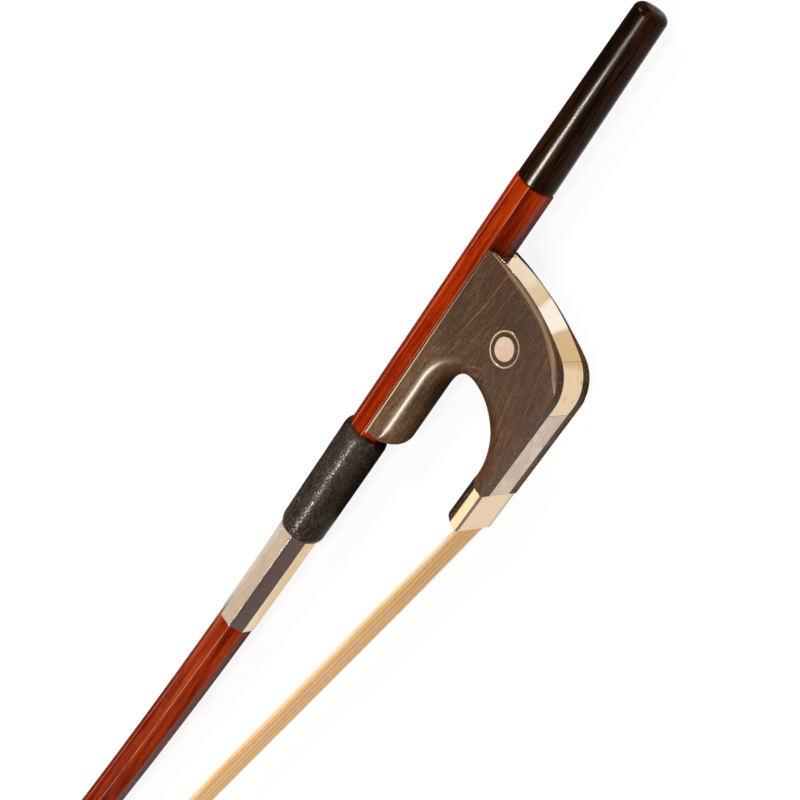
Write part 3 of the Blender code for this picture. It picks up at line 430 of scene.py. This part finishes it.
hairLook = {"shade": (0.54, 0.29, 0.108), "straw": (0.67, 0.39, 0.165), "light": (0.92, 0.74, 0.53),
            "roughness": 0.34, "roughened": 0.20, "specular": 0.02}


def horsehair():
    look = hairLook
    r = Recipe("horsehair", look["straw"], look["roughness"], Specular_IOR_Level=look["specular"])
    tone = r.node("ShaderNodeAttribute", {"attribute_name": "strandTone"}).out("Fac")
    along = r.grain((0.02, 0.05, 1.6))
    shade = (tone * 0.75 + along * 0.35).between(0.1, 0.95)
    r.set("Base Color", r.colours(shade, (0.0, look["shade"]), (0.45, look["straw"]), (1.0, look["light"])))
    r.set("Roughness", look["roughness"] + along * look["roughened"])
    return r.material


mapleLook = {"dark": (0.46, 0.29, 0.15), "pale": (0.68, 0.48, 0.28), "roughness": 0.55}


def maple():
    look = mapleLook
    r = Recipe("maple", look["pale"], look["roughness"])
    fibres = r.grain((0.15, 2.0, 2.0), 3.0, 0.6)
    r.set("Base Color", r.mix(fibres.between(0.35, 0.7), look["dark"], look["pale"]))
    r.bump(fibres, 0.00004)
    return r.material


boneLook = {"plain": (0.80, 0.74, 0.62), "pale": (0.82, 0.77, 0.66), "vein": (0.72, 0.62, 0.46),
            "roughness": 0.3, "coat": 0.4, "coatRoughness": 0.12}


def bone():
    look = boneLook
    r = Recipe("tipBone", look["plain"], look["roughness"], Coat_Weight=look["coat"],
               Coat_Roughness=look["coatRoughness"])
    veins = r.grain((0.22, 0.9, 0.9), 3.0, 0.6)
    r.set("Base Color", r.mix(veins.between(0.4, 0.72), look["pale"], look["vein"]))
    r.bump(veins, 0.00003)
    return r.material


finishes = {
    "pernambuco": pernambuco(),
    "frog_wood": frogWood(),
    "button_ebony": ebony("buttonEbony"),
    "liner_ebony": ebony("linerEbony"),
    "pale_gold": metal("paleGold"),
    "dull_gold": metal("dullGold"),
    "eyelet_brass": metal("eyeletBrass"),
    "screw_steel": metal("screwSteel"),
    "wire": metal("silverWire"),
    "eye_pearl": pearl("eyePearl", eyePearlLook),
    "slide_pearl": pearl("slidePearl", slidePearlLook),
    "leather": leather(),
    "hair": horsehair(),
    "block_wood": maple(),
    "tip_bone": bone(),
}
print("finishes mixed:", len(bpy.data.materials))


# Modelling helpers

# CAD triangles are joined within so many mm, and merged where they turn by fewer degrees than flatWithin
joinWithin = 0.002
flatWithin = 0.25
evenShadeWeight = 80


def onlyThis(piece):
    if bpy.context.object and bpy.context.object.mode != "OBJECT":
        bpy.ops.object.mode_set(mode="OBJECT")
    bpy.ops.object.select_all(action="DESELECT")
    piece.select_set(True)
    bpy.context.view_layer.objects.active = piece


def applyAll(piece):
    onlyThis(piece)
    for step in list(piece.modifiers):
        bpy.ops.object.modifier_apply(modifier=step.name)


def dress(piece, finish):
    piece.data.materials.clear()
    piece.data.materials.append(finish)


def fromMesh(name, mesh, slotName, body=None, finish=None):
    piece = bpy.data.objects.new(name, mesh)
    bpy.context.scene.collection.objects.link(piece)
    dress(piece, finish or finishes[slotName])
    if body:
        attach(piece, body)
    return piece


def remade(node, name, slotName, body, edge=0.0, segments=2, smooth=30.0, finish=None):
    # A copy of a CAD piece, joined up, with edges eased by so many mm and smooth curves
    piece = fromMesh(name, frame["nodes"][node].data.copy(), slotName, None, finish)
    onlyThis(piece)
    bpy.ops.mesh.customdata_custom_splitnormals_clear()
    bpy.ops.object.mode_set(mode="EDIT")
    bpy.ops.mesh.select_all(action="SELECT")
    bpy.ops.mesh.remove_doubles(threshold=joinWithin * mm)
    bpy.ops.mesh.dissolve_limited(angle_limit=math.radians(flatWithin))
    bpy.ops.object.mode_set(mode="OBJECT")
    bpy.ops.object.shade_smooth_by_angle(angle=math.radians(smooth))
    if edge:
        bevel = piece.modifiers.new("easedEdges", "BEVEL")
        bevel.width = edge * mm
        bevel.segments = segments
        bevel.limit_method = "ANGLE"
        bevel.angle_limit = math.radians(smooth)
        bevel.use_clamp_overlap = True
        bevel.harden_normals = False
    weighted = piece.modifiers.new("evenShade", "WEIGHTED_NORMAL")
    weighted.keep_sharp = True
    weighted.weight = evenShadeWeight
    applyAll(piece)
    dress(piece, finish or finishes[slotName])
    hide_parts(node)
    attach(piece, body)
    return piece


def closedTube(name, points, sides, slotName, body=None, smooth=60.0):
    # A closed tube whose points run ring by ring, with so many in each
    rings = len(points) // sides
    faces = []
    for i in range(rings - 1):
        for k in range(sides):
            j = (k + 1) % sides
            faces.append((i * sides + k, i * sides + j, (i + 1) * sides + j, (i + 1) * sides + k))
    faces.append(tuple(range(sides)))
    faces.append(tuple((rings - 1) * sides + k for k in reversed(range(sides))))
    mesh = bpy.data.meshes.new(name)
    mesh.from_pydata(points, [], faces)
    mesh.update()
    piece = fromMesh(name, mesh, slotName, body)
    onlyThis(piece)
    bpy.ops.object.mode_set(mode="EDIT")
    bpy.ops.mesh.select_all(action="SELECT")
    bpy.ops.mesh.normals_make_consistent(inside=False)
    bpy.ops.object.mode_set(mode="OBJECT")
    bpy.ops.object.shade_smooth_by_angle(angle=math.radians(smooth))
    return piece


# Camera, as the photograph was taken: its place in mm, and its lens from a picture 800 pixels wide

cameraPlan = {
    "place": (196.460, -262.625, 426.349), "sensor": 36.0, "lens": 36.0 * 1736.688 / 800.0,
    "right": (0.50072053, -0.57015774, -0.65117169),
    "up": (0.7323789, 0.67991441, -0.03216918),
    "back": (0.46108253, -0.46079664, 0.75824836),
    "clip": (0.01, 50.0),
}


def addCamera():
    data = bpy.data.cameras.new("bowCamera")
    data.sensor_width = cameraPlan["sensor"]
    data.lens = cameraPlan["lens"]
    data.clip_start, data.clip_end = cameraPlan["clip"]
    camera = bpy.data.objects.new("bowCamera", data)
    bpy.context.scene.collection.objects.link(camera)
    turn = Matrix((cameraPlan["right"], cameraPlan["up"], cameraPlan["back"])).transposed().to_4x4()
    camera.matrix_world = Matrix.Translation(spot(*cameraPlan["place"])) @ turn
    bpy.context.scene.camera = camera


addCamera()
print("camera placed")


# Wood: the stick with its head, the frog, the button and the parts inside.
# Each node's piece, slot and body, its edge in mm, the segments in that, and the angle kept smooth

woodwork = {
    "stick": ("stickWood", "pernambuco", "stick", 0.22, 3, 20.0),
    "frog_body": ("frogWood", "frog_wood", "frog", 0.16, 2, 32.0),
    "slide": ("slideWood", "frog_wood", "frog", 0.10),
    "button": ("buttonTurned", "button_ebony", "screw", 0.12, 2, 32.0),
    "tip_plate": ("tipPlate", "tip_bone", "stick", 0.12),
    "tip_plate_liner": ("tipPlateLiner", "liner_ebony", "stick", 0.05, 1),
    "tip_plug": ("tipPlug", "block_wood", "stick", 0.06, 1),
    "frog_plug": ("frogPlug", "block_wood", "frog", 0.06, 1),
    "spread_wedge": ("spreadWedge", "block_wood", "frog", 0.06, 1),
}
wooden = {node: remade(node, *plan) for node, plan in woodwork.items()}

# Where the flutes' rims get a painted highlight: from where, the least slope towards the heel, and the gain
fluteRimHighlights = {"from": -52.0, "leastSlope": 0.06, "gain": 4.0}


def paintFluteRimHighlights(piece):
    # How much each face slopes towards the heel: the flutes' rims are painted paler there, a painted
    # highlight
    tones = []
    start = spot(fluteRimHighlights["from"], 0.0).x
    for face in piece.data.polygons:
        slope = max(face.normal.x - fluteRimHighlights["leastSlope"], 0.0) * abs(face.normal.z) * fluteRimHighlights["gain"]
        highlit = min(slope, 1.0) if face.center.x > start else 0.0
        tones.extend([highlit] * face.loop_total)
    piece.data.attributes.new("rimTone", "FLOAT", "CORNER").data.foreach_set("value", tones)


# Paint a highlight on the frog's flute rims
paintFluteRimHighlights(wooden["frog_body"])
print("wooden pieces made")


# Metal fittings of the frog: each node's piece, finish, edge in mm and the angle kept smooth

fittings = {
    "ferrule": ("ferruleTube", "pale_gold", 0.05, 40.0),
    "heel_plate_back": ("heelPlateBack", "pale_gold", 0.06, 30.0),
    "heel_plate_bottom": ("heelPlateBottom", "pale_gold", 0.06, 30.0),
    "underslide": ("undersideLining", "dull_gold", 0.05, 30.0),
    "eye_ring_left": ("eyeRingLeft", "dull_gold", 0.04, 30.0),
    "eye_ring_right": ("eyeRingRight", "dull_gold", 0.04, 30.0),
    "heel_pin_1": ("heelPinUpper", "pale_gold", 0.05, 30.0),
    "heel_pin_2": ("heelPinLower", "pale_gold", 0.05, 30.0),
    "underslide_pin_1": ("liningPinBack", "pale_gold", 0.05, 30.0),
    "underslide_pin_2": ("liningPinFront", "pale_gold", 0.05, 30.0),
}
for node, (name, finishName, edge, smooth) in fittings.items():
    remade(node, name, "pale_gold", "frog", edge, 2, smooth, finishes[finishName])

# The lining's edge, that shows as a thin line along each side of the frog's top
liningLip = {"middle": (-38.4, -3.82), "aside": 6.58, "size": (76.4, 0.46, 0.56)}


def addLip(name, aside):
    bpy.ops.mesh.primitive_cube_add(size=1.0, location=spot(*liningLip["middle"], aside))
    lip = bpy.context.object
    lip.scale = Vector(liningLip["size"]) * mm
    bpy.ops.object.transform_apply(location=True, rotation=True, scale=True)
    lip.name = name
    dress(lip, finishes["dull_gold"])
    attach(lip, "frog")


addLip("liningLipLeft", liningLip["aside"])
addLip("liningLipRight", -liningLip["aside"])

screwFittings = {
    "eyelet": ("eyeletBrass", "eyelet_brass", "frog", 0.1),
    "screw": ("screwRod", "screw_steel", "screw", 0.1),
}
for node, plan in screwFittings.items():
    remade(node, *plan)
print("metal pieces made")


# Mother of pearl: each node's piece, finish and edge in mm

pearls = {
    "pearl_slide": ("pearlFace", "slide_pearl", 0.06),
    "eye_pearl_left": ("eyePearlLeft", "eye_pearl", 0.08),
    "eye_pearl_right": ("eyePearlRight", "eye_pearl", 0.08),
}
for node, (name, finishName, edge) in pearls.items():
    remade(node, name, "pearl", "frog", edge, 2, 30.0, finishes[finishName])
print("pearl pieces made")


# The handle, on which the leather and the wire lie

def handleFlats(x):
    share = (handle["taperStart"] - x) / (handle["taperStart"] - handle["neckStart"])
    return mixed(handle["flats"], handle["lappedFlats"], easeInOut(share))


def onHandle(x, radius, angle):
    # A point round the handle's axis, in the row frame
    run = max(handle["camberStart"] - x, 0.0)
    rise = handle["camberRadius"] - math.sqrt(handle["camberRadius"] ** 2 - run ** 2)
    turn = math.asin(run / handle["camberRadius"])
    y = radius * math.cos(angle)
    return spot(x + y * math.sin(turn), rise + y * math.cos(turn), radius * math.sin(angle))


def octagonReach(half, angle):
    # Distance out to an octagon with flats that far from its middle
    off = (angle + math.pi / 8) % (math.pi / 4) - math.pi / 8
    return min(half / math.cos(off), half / math.cos(math.pi / 8))


# Leather sleeve

sleeve = {
    "start": -79.3, "end": -126.4, "thickness": 1.3, "roundness": 0.78, "sides": 96, "rings": 96,
    "skive": 3.2, "skiveCurve": 0.8, "thinEnd": 0.34, "lining": 0.12, "smooth": 70.0,
    # Dents pressed in at random: how far along, how deep, how wide, and the girth that spreads their angles
    "seed": 11, "dents": 24, "dentPlace": (0.1, 0.9), "dentDepth": (0.02, 0.07), "dentReach": 3.0,
    "girth": 7,
    # The cut ends' waves: height, count and phase, and how far in they are felt
    "waves": ((0.16, 3, 1.0), (0.10, 7, 0.0)), "wavesReach": 3.0,
}


def leatherSleeve():
    random.seed(sleeve["seed"])
    sides = sleeve["sides"]
    length = sleeve["start"] - sleeve["end"]
    angles = [2 * math.pi * k / sides for k in range(sides)]
    dents = [(random.uniform(0, 2 * math.pi), random.uniform(*sleeve["dentPlace"]),
              random.uniform(*sleeve["dentDepth"])) for _ in range(sleeve["dents"])]
    shape = bmesh.new()
    loops = []
    for i in range(sleeve["rings"] + 1):
        share = i / sleeve["rings"]
        x = mixed(sleeve["start"], sleeve["end"], share)
        half = handleFlats(x) / 2
        corner = half / math.cos(math.pi / 8)
        inward = min(share, 1 - share) * length
        thinning = math.sin(min(inward / sleeve["skive"], 1.0) * math.pi / 2) ** sleeve["skiveCurve"]
        height = mixed(sleeve["thinEnd"], 1.0, thinning)
        loop = []
        for angle in angles:
            flat = octagonReach(half, angle)
            radius = mixed(flat, corner, sleeve["roundness"] * height) + sleeve["thickness"] * height
            for where, place, depth in dents:
                away = math.dist((math.cos(angle), math.sin(angle)), (math.cos(where), math.sin(where)))
                away = math.hypot(away * sleeve["girth"], (share - place) * length)
                radius -= depth * math.exp(-(away / sleeve["dentReach"]) ** 2)
            wave = sum(tall * math.sin(angle * count + phase) for tall, count, phase in sleeve["waves"])
            shift = wave * max(1 - inward / sleeve["wavesReach"], 0.0)
            loop.append(shape.verts.new(onHandle(x + shift, radius, angle)))
        loops.append(loop)
    # The inner side, just off the wood
    for x in (sleeve["end"], sleeve["start"]):
        inner = handleFlats(x) / 2 + sleeve["lining"]
        loops.append([shape.verts.new(onHandle(x, octagonReach(inner, angle), angle)) for angle in angles])
    for near, far in zip(loops, loops[1:] + loops[:1]):
        for k in range(sides):
            j = (k + 1) % sides
            shape.faces.new((near[k], near[j], far[j], far[k]))
    bmesh.ops.recalc_face_normals(shape, faces=shape.faces)
    mesh = bpy.data.meshes.new("leatherSleeve")
    shape.to_mesh(mesh)
    shape.free()
    piece = fromMesh("leatherSleeve", mesh, "leather", "stick")
    onlyThis(piece)
    bpy.ops.object.shade_smooth_by_angle(angle=math.radians(sleeve["smooth"]))
    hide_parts("leather_grip")


leatherSleeve()
print("leather sleeve made")


# Wire lapping, one wire wound side by side

lapping = {
    "start": -126.2, "end": -172.3, "wire": 0.32, "rise": 0.04, "bed": 0.28,
    # Where the wire has points on each of the eight flats, in degrees from its middle
    "facet": (-21.8, -19.0, 0.0, 19.0, 21.8),
    # The wire's section: aside and up, in shares of its width and rise
    "section": ((-0.5, 0.0), (-0.36, 0.72), (0.0, 1.0), (0.36, 0.72), (0.5, 0.0), (0.25, -0.6),
                (-0.25, -0.6)),
}


def wireLapping():
    around = [math.radians(45.0 * side + off) for side in range(8) for off in lapping["facet"]]
    turns = int((lapping["start"] - lapping["end"] - lapping["wire"]) / lapping["wire"])
    points = []
    for i in range(turns * len(around) + 1):
        lap, corner = divmod(i, len(around))
        angle = around[corner]
        x = lapping["start"] - lapping["wire"] * (0.5 + lap + corner / len(around))
        bed = octagonReach(handleFlats(x) / 2 + lapping["bed"], angle)
        for aside, height in lapping["section"]:
            points.append(onHandle(x - aside * lapping["wire"], bed + height * lapping["rise"], angle))
    piece = closedTube("wireLapping", points, len(lapping["section"]), "wire", "stick", 60.0)
    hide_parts("wire_lapping")


wireLapping()
print("wire lapping wound")


# Hair, one ribbon of combed locks

hairPlan = {
    "seed": 4, "locks": 30, "endSteps": 7, "ripple": 0.055, "thickness": 1.15, "fullness": 2.5, "fan": 1.12,
    "rounding": 0.45,
    # The locks' tones: the middle, two waves across, each lock's own spread, and sides painted paler as a
    # painted highlight
    "tone": 0.40, "toneWaves": ((0.13, 11.0, 0.6), (0.11, 26.0, 0.0)), "toneSpread": 0.13, "sideHighlight": 0.34,
    # x, y and half width along the run, from the frog's knot to the ferrule's mouth
    "run": ((-43.9, -48.69, 4.6), (-45.9, -49.09, 4.6), (-49.0, -49.09, 5.9), (-58.53, -49.09, 6.0),
            (-64.53, -50.83, 6.0), (-72.93, -51.14, 6.0)),
    # The free part, with how many rings at either end stay as thin as the CAD ribbon
    "slope": math.atan(0.133), "freeSteps": 12, "thinRings": (4, 7), "swellRings": 2,
    # The head: where the hair enters, how far before it the free part ends, and the way in
    "tip": (-632.0, 23.22, 5.05), "gather": 7.0, "window": 3.2, "lift": 0.25,
    "intoHead": ((-1.0, -0.15), (0.2, -0.1), (0.9, 0.3), (1.2, 1.2), (1.3, 3.4)),
}


def hairRun():
    run = [Vector(p) for p in hairPlan["run"]]
    along = Vector((-math.cos(hairPlan["slope"]), math.sin(hairPlan["slope"]), 0.0))
    up = Vector((-along.y, along.x, 0.0)) * -1.0
    start = run[-1]
    tip = Vector(hairPlan["tip"])
    length = math.hypot(tip.x - start.x, tip.y - start.y) - hairPlan["gather"]
    for i in range(1, hairPlan["freeSteps"] + 1):
        share = i / hairPlan["freeSteps"]
        half = mixed(start.z, tip.z, easeInOut(share))
        run.append(Vector((start.x + along.x * length * share, start.y + along.y * length * share, half)))
    window = Vector((tip.x, tip.y, hairPlan["window"]))
    for onward, inward in hairPlan["intoHead"]:
        run.append(window + along * onward + up * (inward + hairPlan["lift"]))
    return run


def hairOutline():
    # Round the ribbon's section: how far across, how far out at the sides, and how far up
    locks, steps = hairPlan["locks"], hairPlan["endSteps"]
    top = [(mixed(1.0, -1.0, i / locks), 0.0, 1.0) for i in range(locks + 1)]
    bottom = [(mixed(-1.0, 1.0, i / locks), 0.0, -1.0) for i in range(locks + 1)]
    bends = [math.pi * i / steps for i in range(1, steps)]
    farSide = [(-1.0, -math.sin(bend), math.cos(bend)) for bend in bends]
    nearSide = [(1.0, math.sin(bend), -math.cos(bend)) for bend in bends]
    return top + farSide + bottom + nearSide


def horsehairRibbon():
    random.seed(hairPlan["seed"])
    run = hairRun()
    outline = hairOutline()
    ripples = [random.uniform(-1.0, 1.0) * hairPlan["ripple"] for _ in outline]
    shades = []
    for across, outward, up in outline:
        tone = hairPlan["tone"]
        for tall, count, phase in hairPlan["toneWaves"]:
            tone += tall * math.sin(across * count + phase)
        tone += random.gauss(0.0, hairPlan["toneSpread"])
        # The ribbon's sides painted paler: a painted highlight
        shades.append(min(max(tone + hairPlan["sideHighlight"] * abs(outward), 0.0), 1.0))
    points, tones = [], []
    thinAtFrog, thinAtHead = hairPlan["thinRings"]
    for i, point in enumerate(run):
        before = run[max(i - 1, 0)]
        after = run[min(i + 1, len(run) - 1)]
        onward = Vector((after.x - before.x, after.y - before.y)).normalized()
        side = Vector((onward.y, -onward.x))
        inward = min(max(i - thinAtFrog, 0), max(len(run) - thinAtHead - i, 0))
        free = min(inward / hairPlan["swellRings"], 1.0)
        thick = mixed(hairPlan["thickness"], hairPlan["fullness"], free)
        rounding = thick * hairPlan["rounding"]
        flat = point.z * mixed(1.0, hairPlan["fan"], free) - rounding
        for (across, outward, up), ripple in zip(outline, ripples):
            lift = up * (thick / 2 + ripple)
            z = across * flat + outward * rounding
            points.append(spot(point.x + side.x * lift, point.y + side.y * lift, z))
        tones.extend(shades)
    piece = closedTube("horsehairRibbon", points, len(outline), "hair", None, 100.0)
    piece.data.attributes.new("strandTone", "FLOAT", "POINT").data.foreach_set("value", tones)
    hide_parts("hair_ribbon")
    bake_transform(piece)


horsehairRibbon()
remade("frog_hair_knot", "frogHairKnot", "hair", "frog", 0.0, 1, 50.0)
remade("tip_hair_knot", "tipHairKnot", "hair", "stick", 0.0, 1, 50.0)
print("hair strung")


# Floor

floorPlan = {
    "size": 14.0, "level": -0.0002, "albedo": (0.32, 0.315, 0.31), "white": 1.42, "keep": 0.36,
    "mirroredDark": 0.04, "bandsOver": (-60.0, 8.0), "bandsTilt": 0.22, "bandsDrift": 3.0,
    # Where metal mirrors a lit floor: under the frog, behind its strip, by the wire, not past the stick
    "below": (-54.0, -52.0), "behind": (-14.0, -10.0), "byWire": (-124.0, -116.0), "pastStick": (7.0, 11.0),
    # A dimmer patch beyond the wire, for its own facets
    "patchStart": (-196.0, -190.0), "patchEnd": (-146.0, -140.0), "patch": 0.75,
    # The lit floor's colours as the metal mirrors them, from the frog's bottom up to the stick
    "bands": (
        (0.0, (0.95, 0.91, 0.88)), (0.045, (0.96, 0.92, 0.87)), (0.08, (0.80, 0.68, 0.50)),
        (0.30, (0.84, 0.72, 0.55)), (0.33, (0.80, 0.68, 0.49)), (0.36, (1.14, 1.32, 1.62)),
        (0.58, (1.12, 1.28, 1.50)), (0.62, (0.86, 0.78, 0.64)), (0.74, (0.93, 0.88, 0.80)),
        (0.80, (1.0, 1.03, 1.10)), (1.0, (1.02, 0.98, 0.92)),
    ),
}


def floorMaterial():
    plan = floorPlan
    r = Recipe("studioFloor", plan["albedo"], 0.9, Specular_IOR_Level=0.0)
    tree = r.tree
    rays = r.node("ShaderNodeLightPath")
    mirrored = rays.out("Is Glossy Ray")
    seen = rays.out("Is Camera Ray").most(mirrored).most(rays.out("Is Transmission Ray"))
    # What the polished metal mirrors: bands of light and shade, and darkness elsewhere
    x, y, _ = r.split(r.place())
    drift = r.grain((0.08, 0.08, 0.08))
    height = y + x * plan["bandsTilt"] + drift * plan["bandsDrift"]
    bands = r.colours(height.between(*plan["bandsOver"]), *plan["bands"])
    below = 1 - y.between(*plan["below"])
    behind = x.between(*plan["behind"])
    byWire = 1 - x.between(*plan["byWire"])
    lit = below.most(behind).most(byWire) * (1 - y.between(*plan["pastStick"]))
    patch = x.between(*plan["patchStart"]) * (1 - x.between(*plan["patchEnd"])) * plan["patch"]
    shown = r.mix(lit.most(patch), (plan["mirroredDark"],) * 3, bands)
    glow = tree.nodes.new("ShaderNodeEmission")
    r.feed(glow.inputs["Color"], r.mix(mirrored, (plan["white"],) * 3, shown))
    glow.inputs["Strength"].default_value = 1.0
    # The camera sees white with some of the real shadow kept, and the metal only the bands
    merged = tree.nodes.new("ShaderNodeMixShader")
    r.feed(merged.inputs[0], seen * (1.0 - plan["keep"]) + mirrored * plan["keep"])
    tree.links.new(r.shader.outputs[0], merged.inputs[1])
    tree.links.new(glow.outputs[0], merged.inputs[2])
    tree.links.new(merged.outputs[0], tree.nodes["Material Output"].inputs["Surface"])
    return r.material


def addFloor():
    bpy.ops.object.select_all(action="DESELECT")
    bpy.ops.mesh.primitive_plane_add(size=floorPlan["size"], location=(0.0, 0.0, floorPlan["level"]))
    floor = bpy.context.object
    floor.name = "studioFloor"
    floor.data.materials.append(floorMaterial())


# World: brighter overhead, and plain white where the camera sees it

skyPlan = {"from": 0.25, "to": 0.85, "low": 0.015, "high": 0.05, "colour": (1.0, 0.985, 0.965, 1.0),
           "seen": (1.0, 1.0, 1.0, 1.0)}


def addWorld():
    world = bpy.data.worlds.new("studioWorld")
    bpy.context.scene.world = world
    world.use_nodes = True
    nodes, links = world.node_tree.nodes, world.node_tree.links
    sky = nodes["Background"]
    rays = nodes.new("ShaderNodeLightPath")
    place = nodes.new("ShaderNodeTexCoord")
    parts = nodes.new("ShaderNodeSeparateXYZ")
    links.new(place.outputs["Generated"], parts.inputs[0])
    ramp = nodes.new("ShaderNodeMapRange")
    ramp.interpolation_type = "SMOOTHSTEP"
    links.new(parts.outputs["Z"], ramp.inputs["Value"])
    ramp.inputs["From Min"].default_value = skyPlan["from"]
    ramp.inputs["From Max"].default_value = skyPlan["to"]
    ramp.inputs["To Min"].default_value = skyPlan["low"]
    ramp.inputs["To Max"].default_value = skyPlan["high"]
    links.new(ramp.outputs[0], sky.inputs["Strength"])
    sky.inputs["Color"].default_value = skyPlan["colour"]
    white = nodes.new("ShaderNodeBackground")
    white.inputs["Color"].default_value = skyPlan["seen"]
    mixer = nodes.new("ShaderNodeMixShader")
    links.new(rays.outputs["Is Camera Ray"], mixer.inputs[0])
    links.new(sky.outputs[0], mixer.inputs[1])
    links.new(white.outputs[0], mixer.inputs[2])
    links.new(mixer.outputs[0], nodes["World Output"].inputs["Surface"])


# Each lamp's direction from the target, its distance, width and height in metres, power and colour,
# and what it lights
lampPlan = {
    "mainSoftbox": ((0.46, 0.62, 0.64), 2.0, 0.70, 0.70, 31.0, (1.0, 0.94, 0.87), "both"),
    "keyStrip": ((-0.45, -0.06, 0.89), 1.9, 0.13, 1.10, 21.5, (1.0, 0.95, 0.90), "both"),
    "keyGlint": ((-0.45, -0.06, 0.89), 1.88, 0.15, 1.10, 300.0, (1.0, 0.86, 0.74), "reflections"),
    "lowFill": ((-0.50, -0.86, 0.12), 1.8, 0.90, 0.36, 23.0, (1.0, 0.95, 0.90), "diffuse"),
    "rearFill": ((0.96, 0.22, 0.12), 1.8, 0.80, 0.30, 30.0, (1.0, 0.95, 0.90), "diffuse"),
    "duskCard": ((-0.52, -0.73, 0.44), 1.9, 0.90, 0.50, 0.42, (1.0, 0.80, 0.96), "reflections"),
    "sideCard": ((-0.572, 0.613, 0.545), 2.2, 1.80, 1.39, 11.5, (1.0, 0.86, 0.73), "reflections"),
}
lampTarget = (-60.0, -15.0)

# Only the dull pieces mirror the key's glint, and only the others the two cards
shownOn = {"keyGlint": "dull", "duskCard": "metal", "sideCard": "metal"}
dullPieces = ("stickWood", "frogWood", "slideWood", "buttonTurned", "leatherSleeve", "pearlFace",
              "eyePearlLeft", "eyePearlRight")


def addLamps():
    target = spot(*lampTarget)
    for name, (direction, distance, width, height, power, colour, shows) in lampPlan.items():
        data = bpy.data.lights.new(name, "AREA")
        data.shape = "RECTANGLE"
        data.size = width
        data.size_y = height
        data.energy = power
        data.color = colour
        lamp = bpy.data.objects.new(name, data)
        bpy.context.scene.collection.objects.link(lamp)
        lamp.visible_diffuse = shows != "reflections"
        lamp.visible_glossy = shows != "diffuse"
        back = Vector(direction).normalized()
        lamp.rotation_mode = "QUATERNION"
        lamp.rotation_quaternion = back.to_track_quat("Z", "Y")
        lamp.location = target + back * distance
        if name in shownOn:
            taken = bpy.data.collections.new(name + "Takers")
            for piece in bpy.data.objects:
                if piece.type == "MESH" and (piece.name in dullPieces) == (shownOn[name] == "dull"):
                    taken.objects.link(piece)
            lamp.light_linking.receiver_collection = taken


addFloor()
addWorld()
addLamps()
bpy.context.scene.view_settings.view_transform = "Standard"
print("studio lit")

bpy.context.view_layer.update()
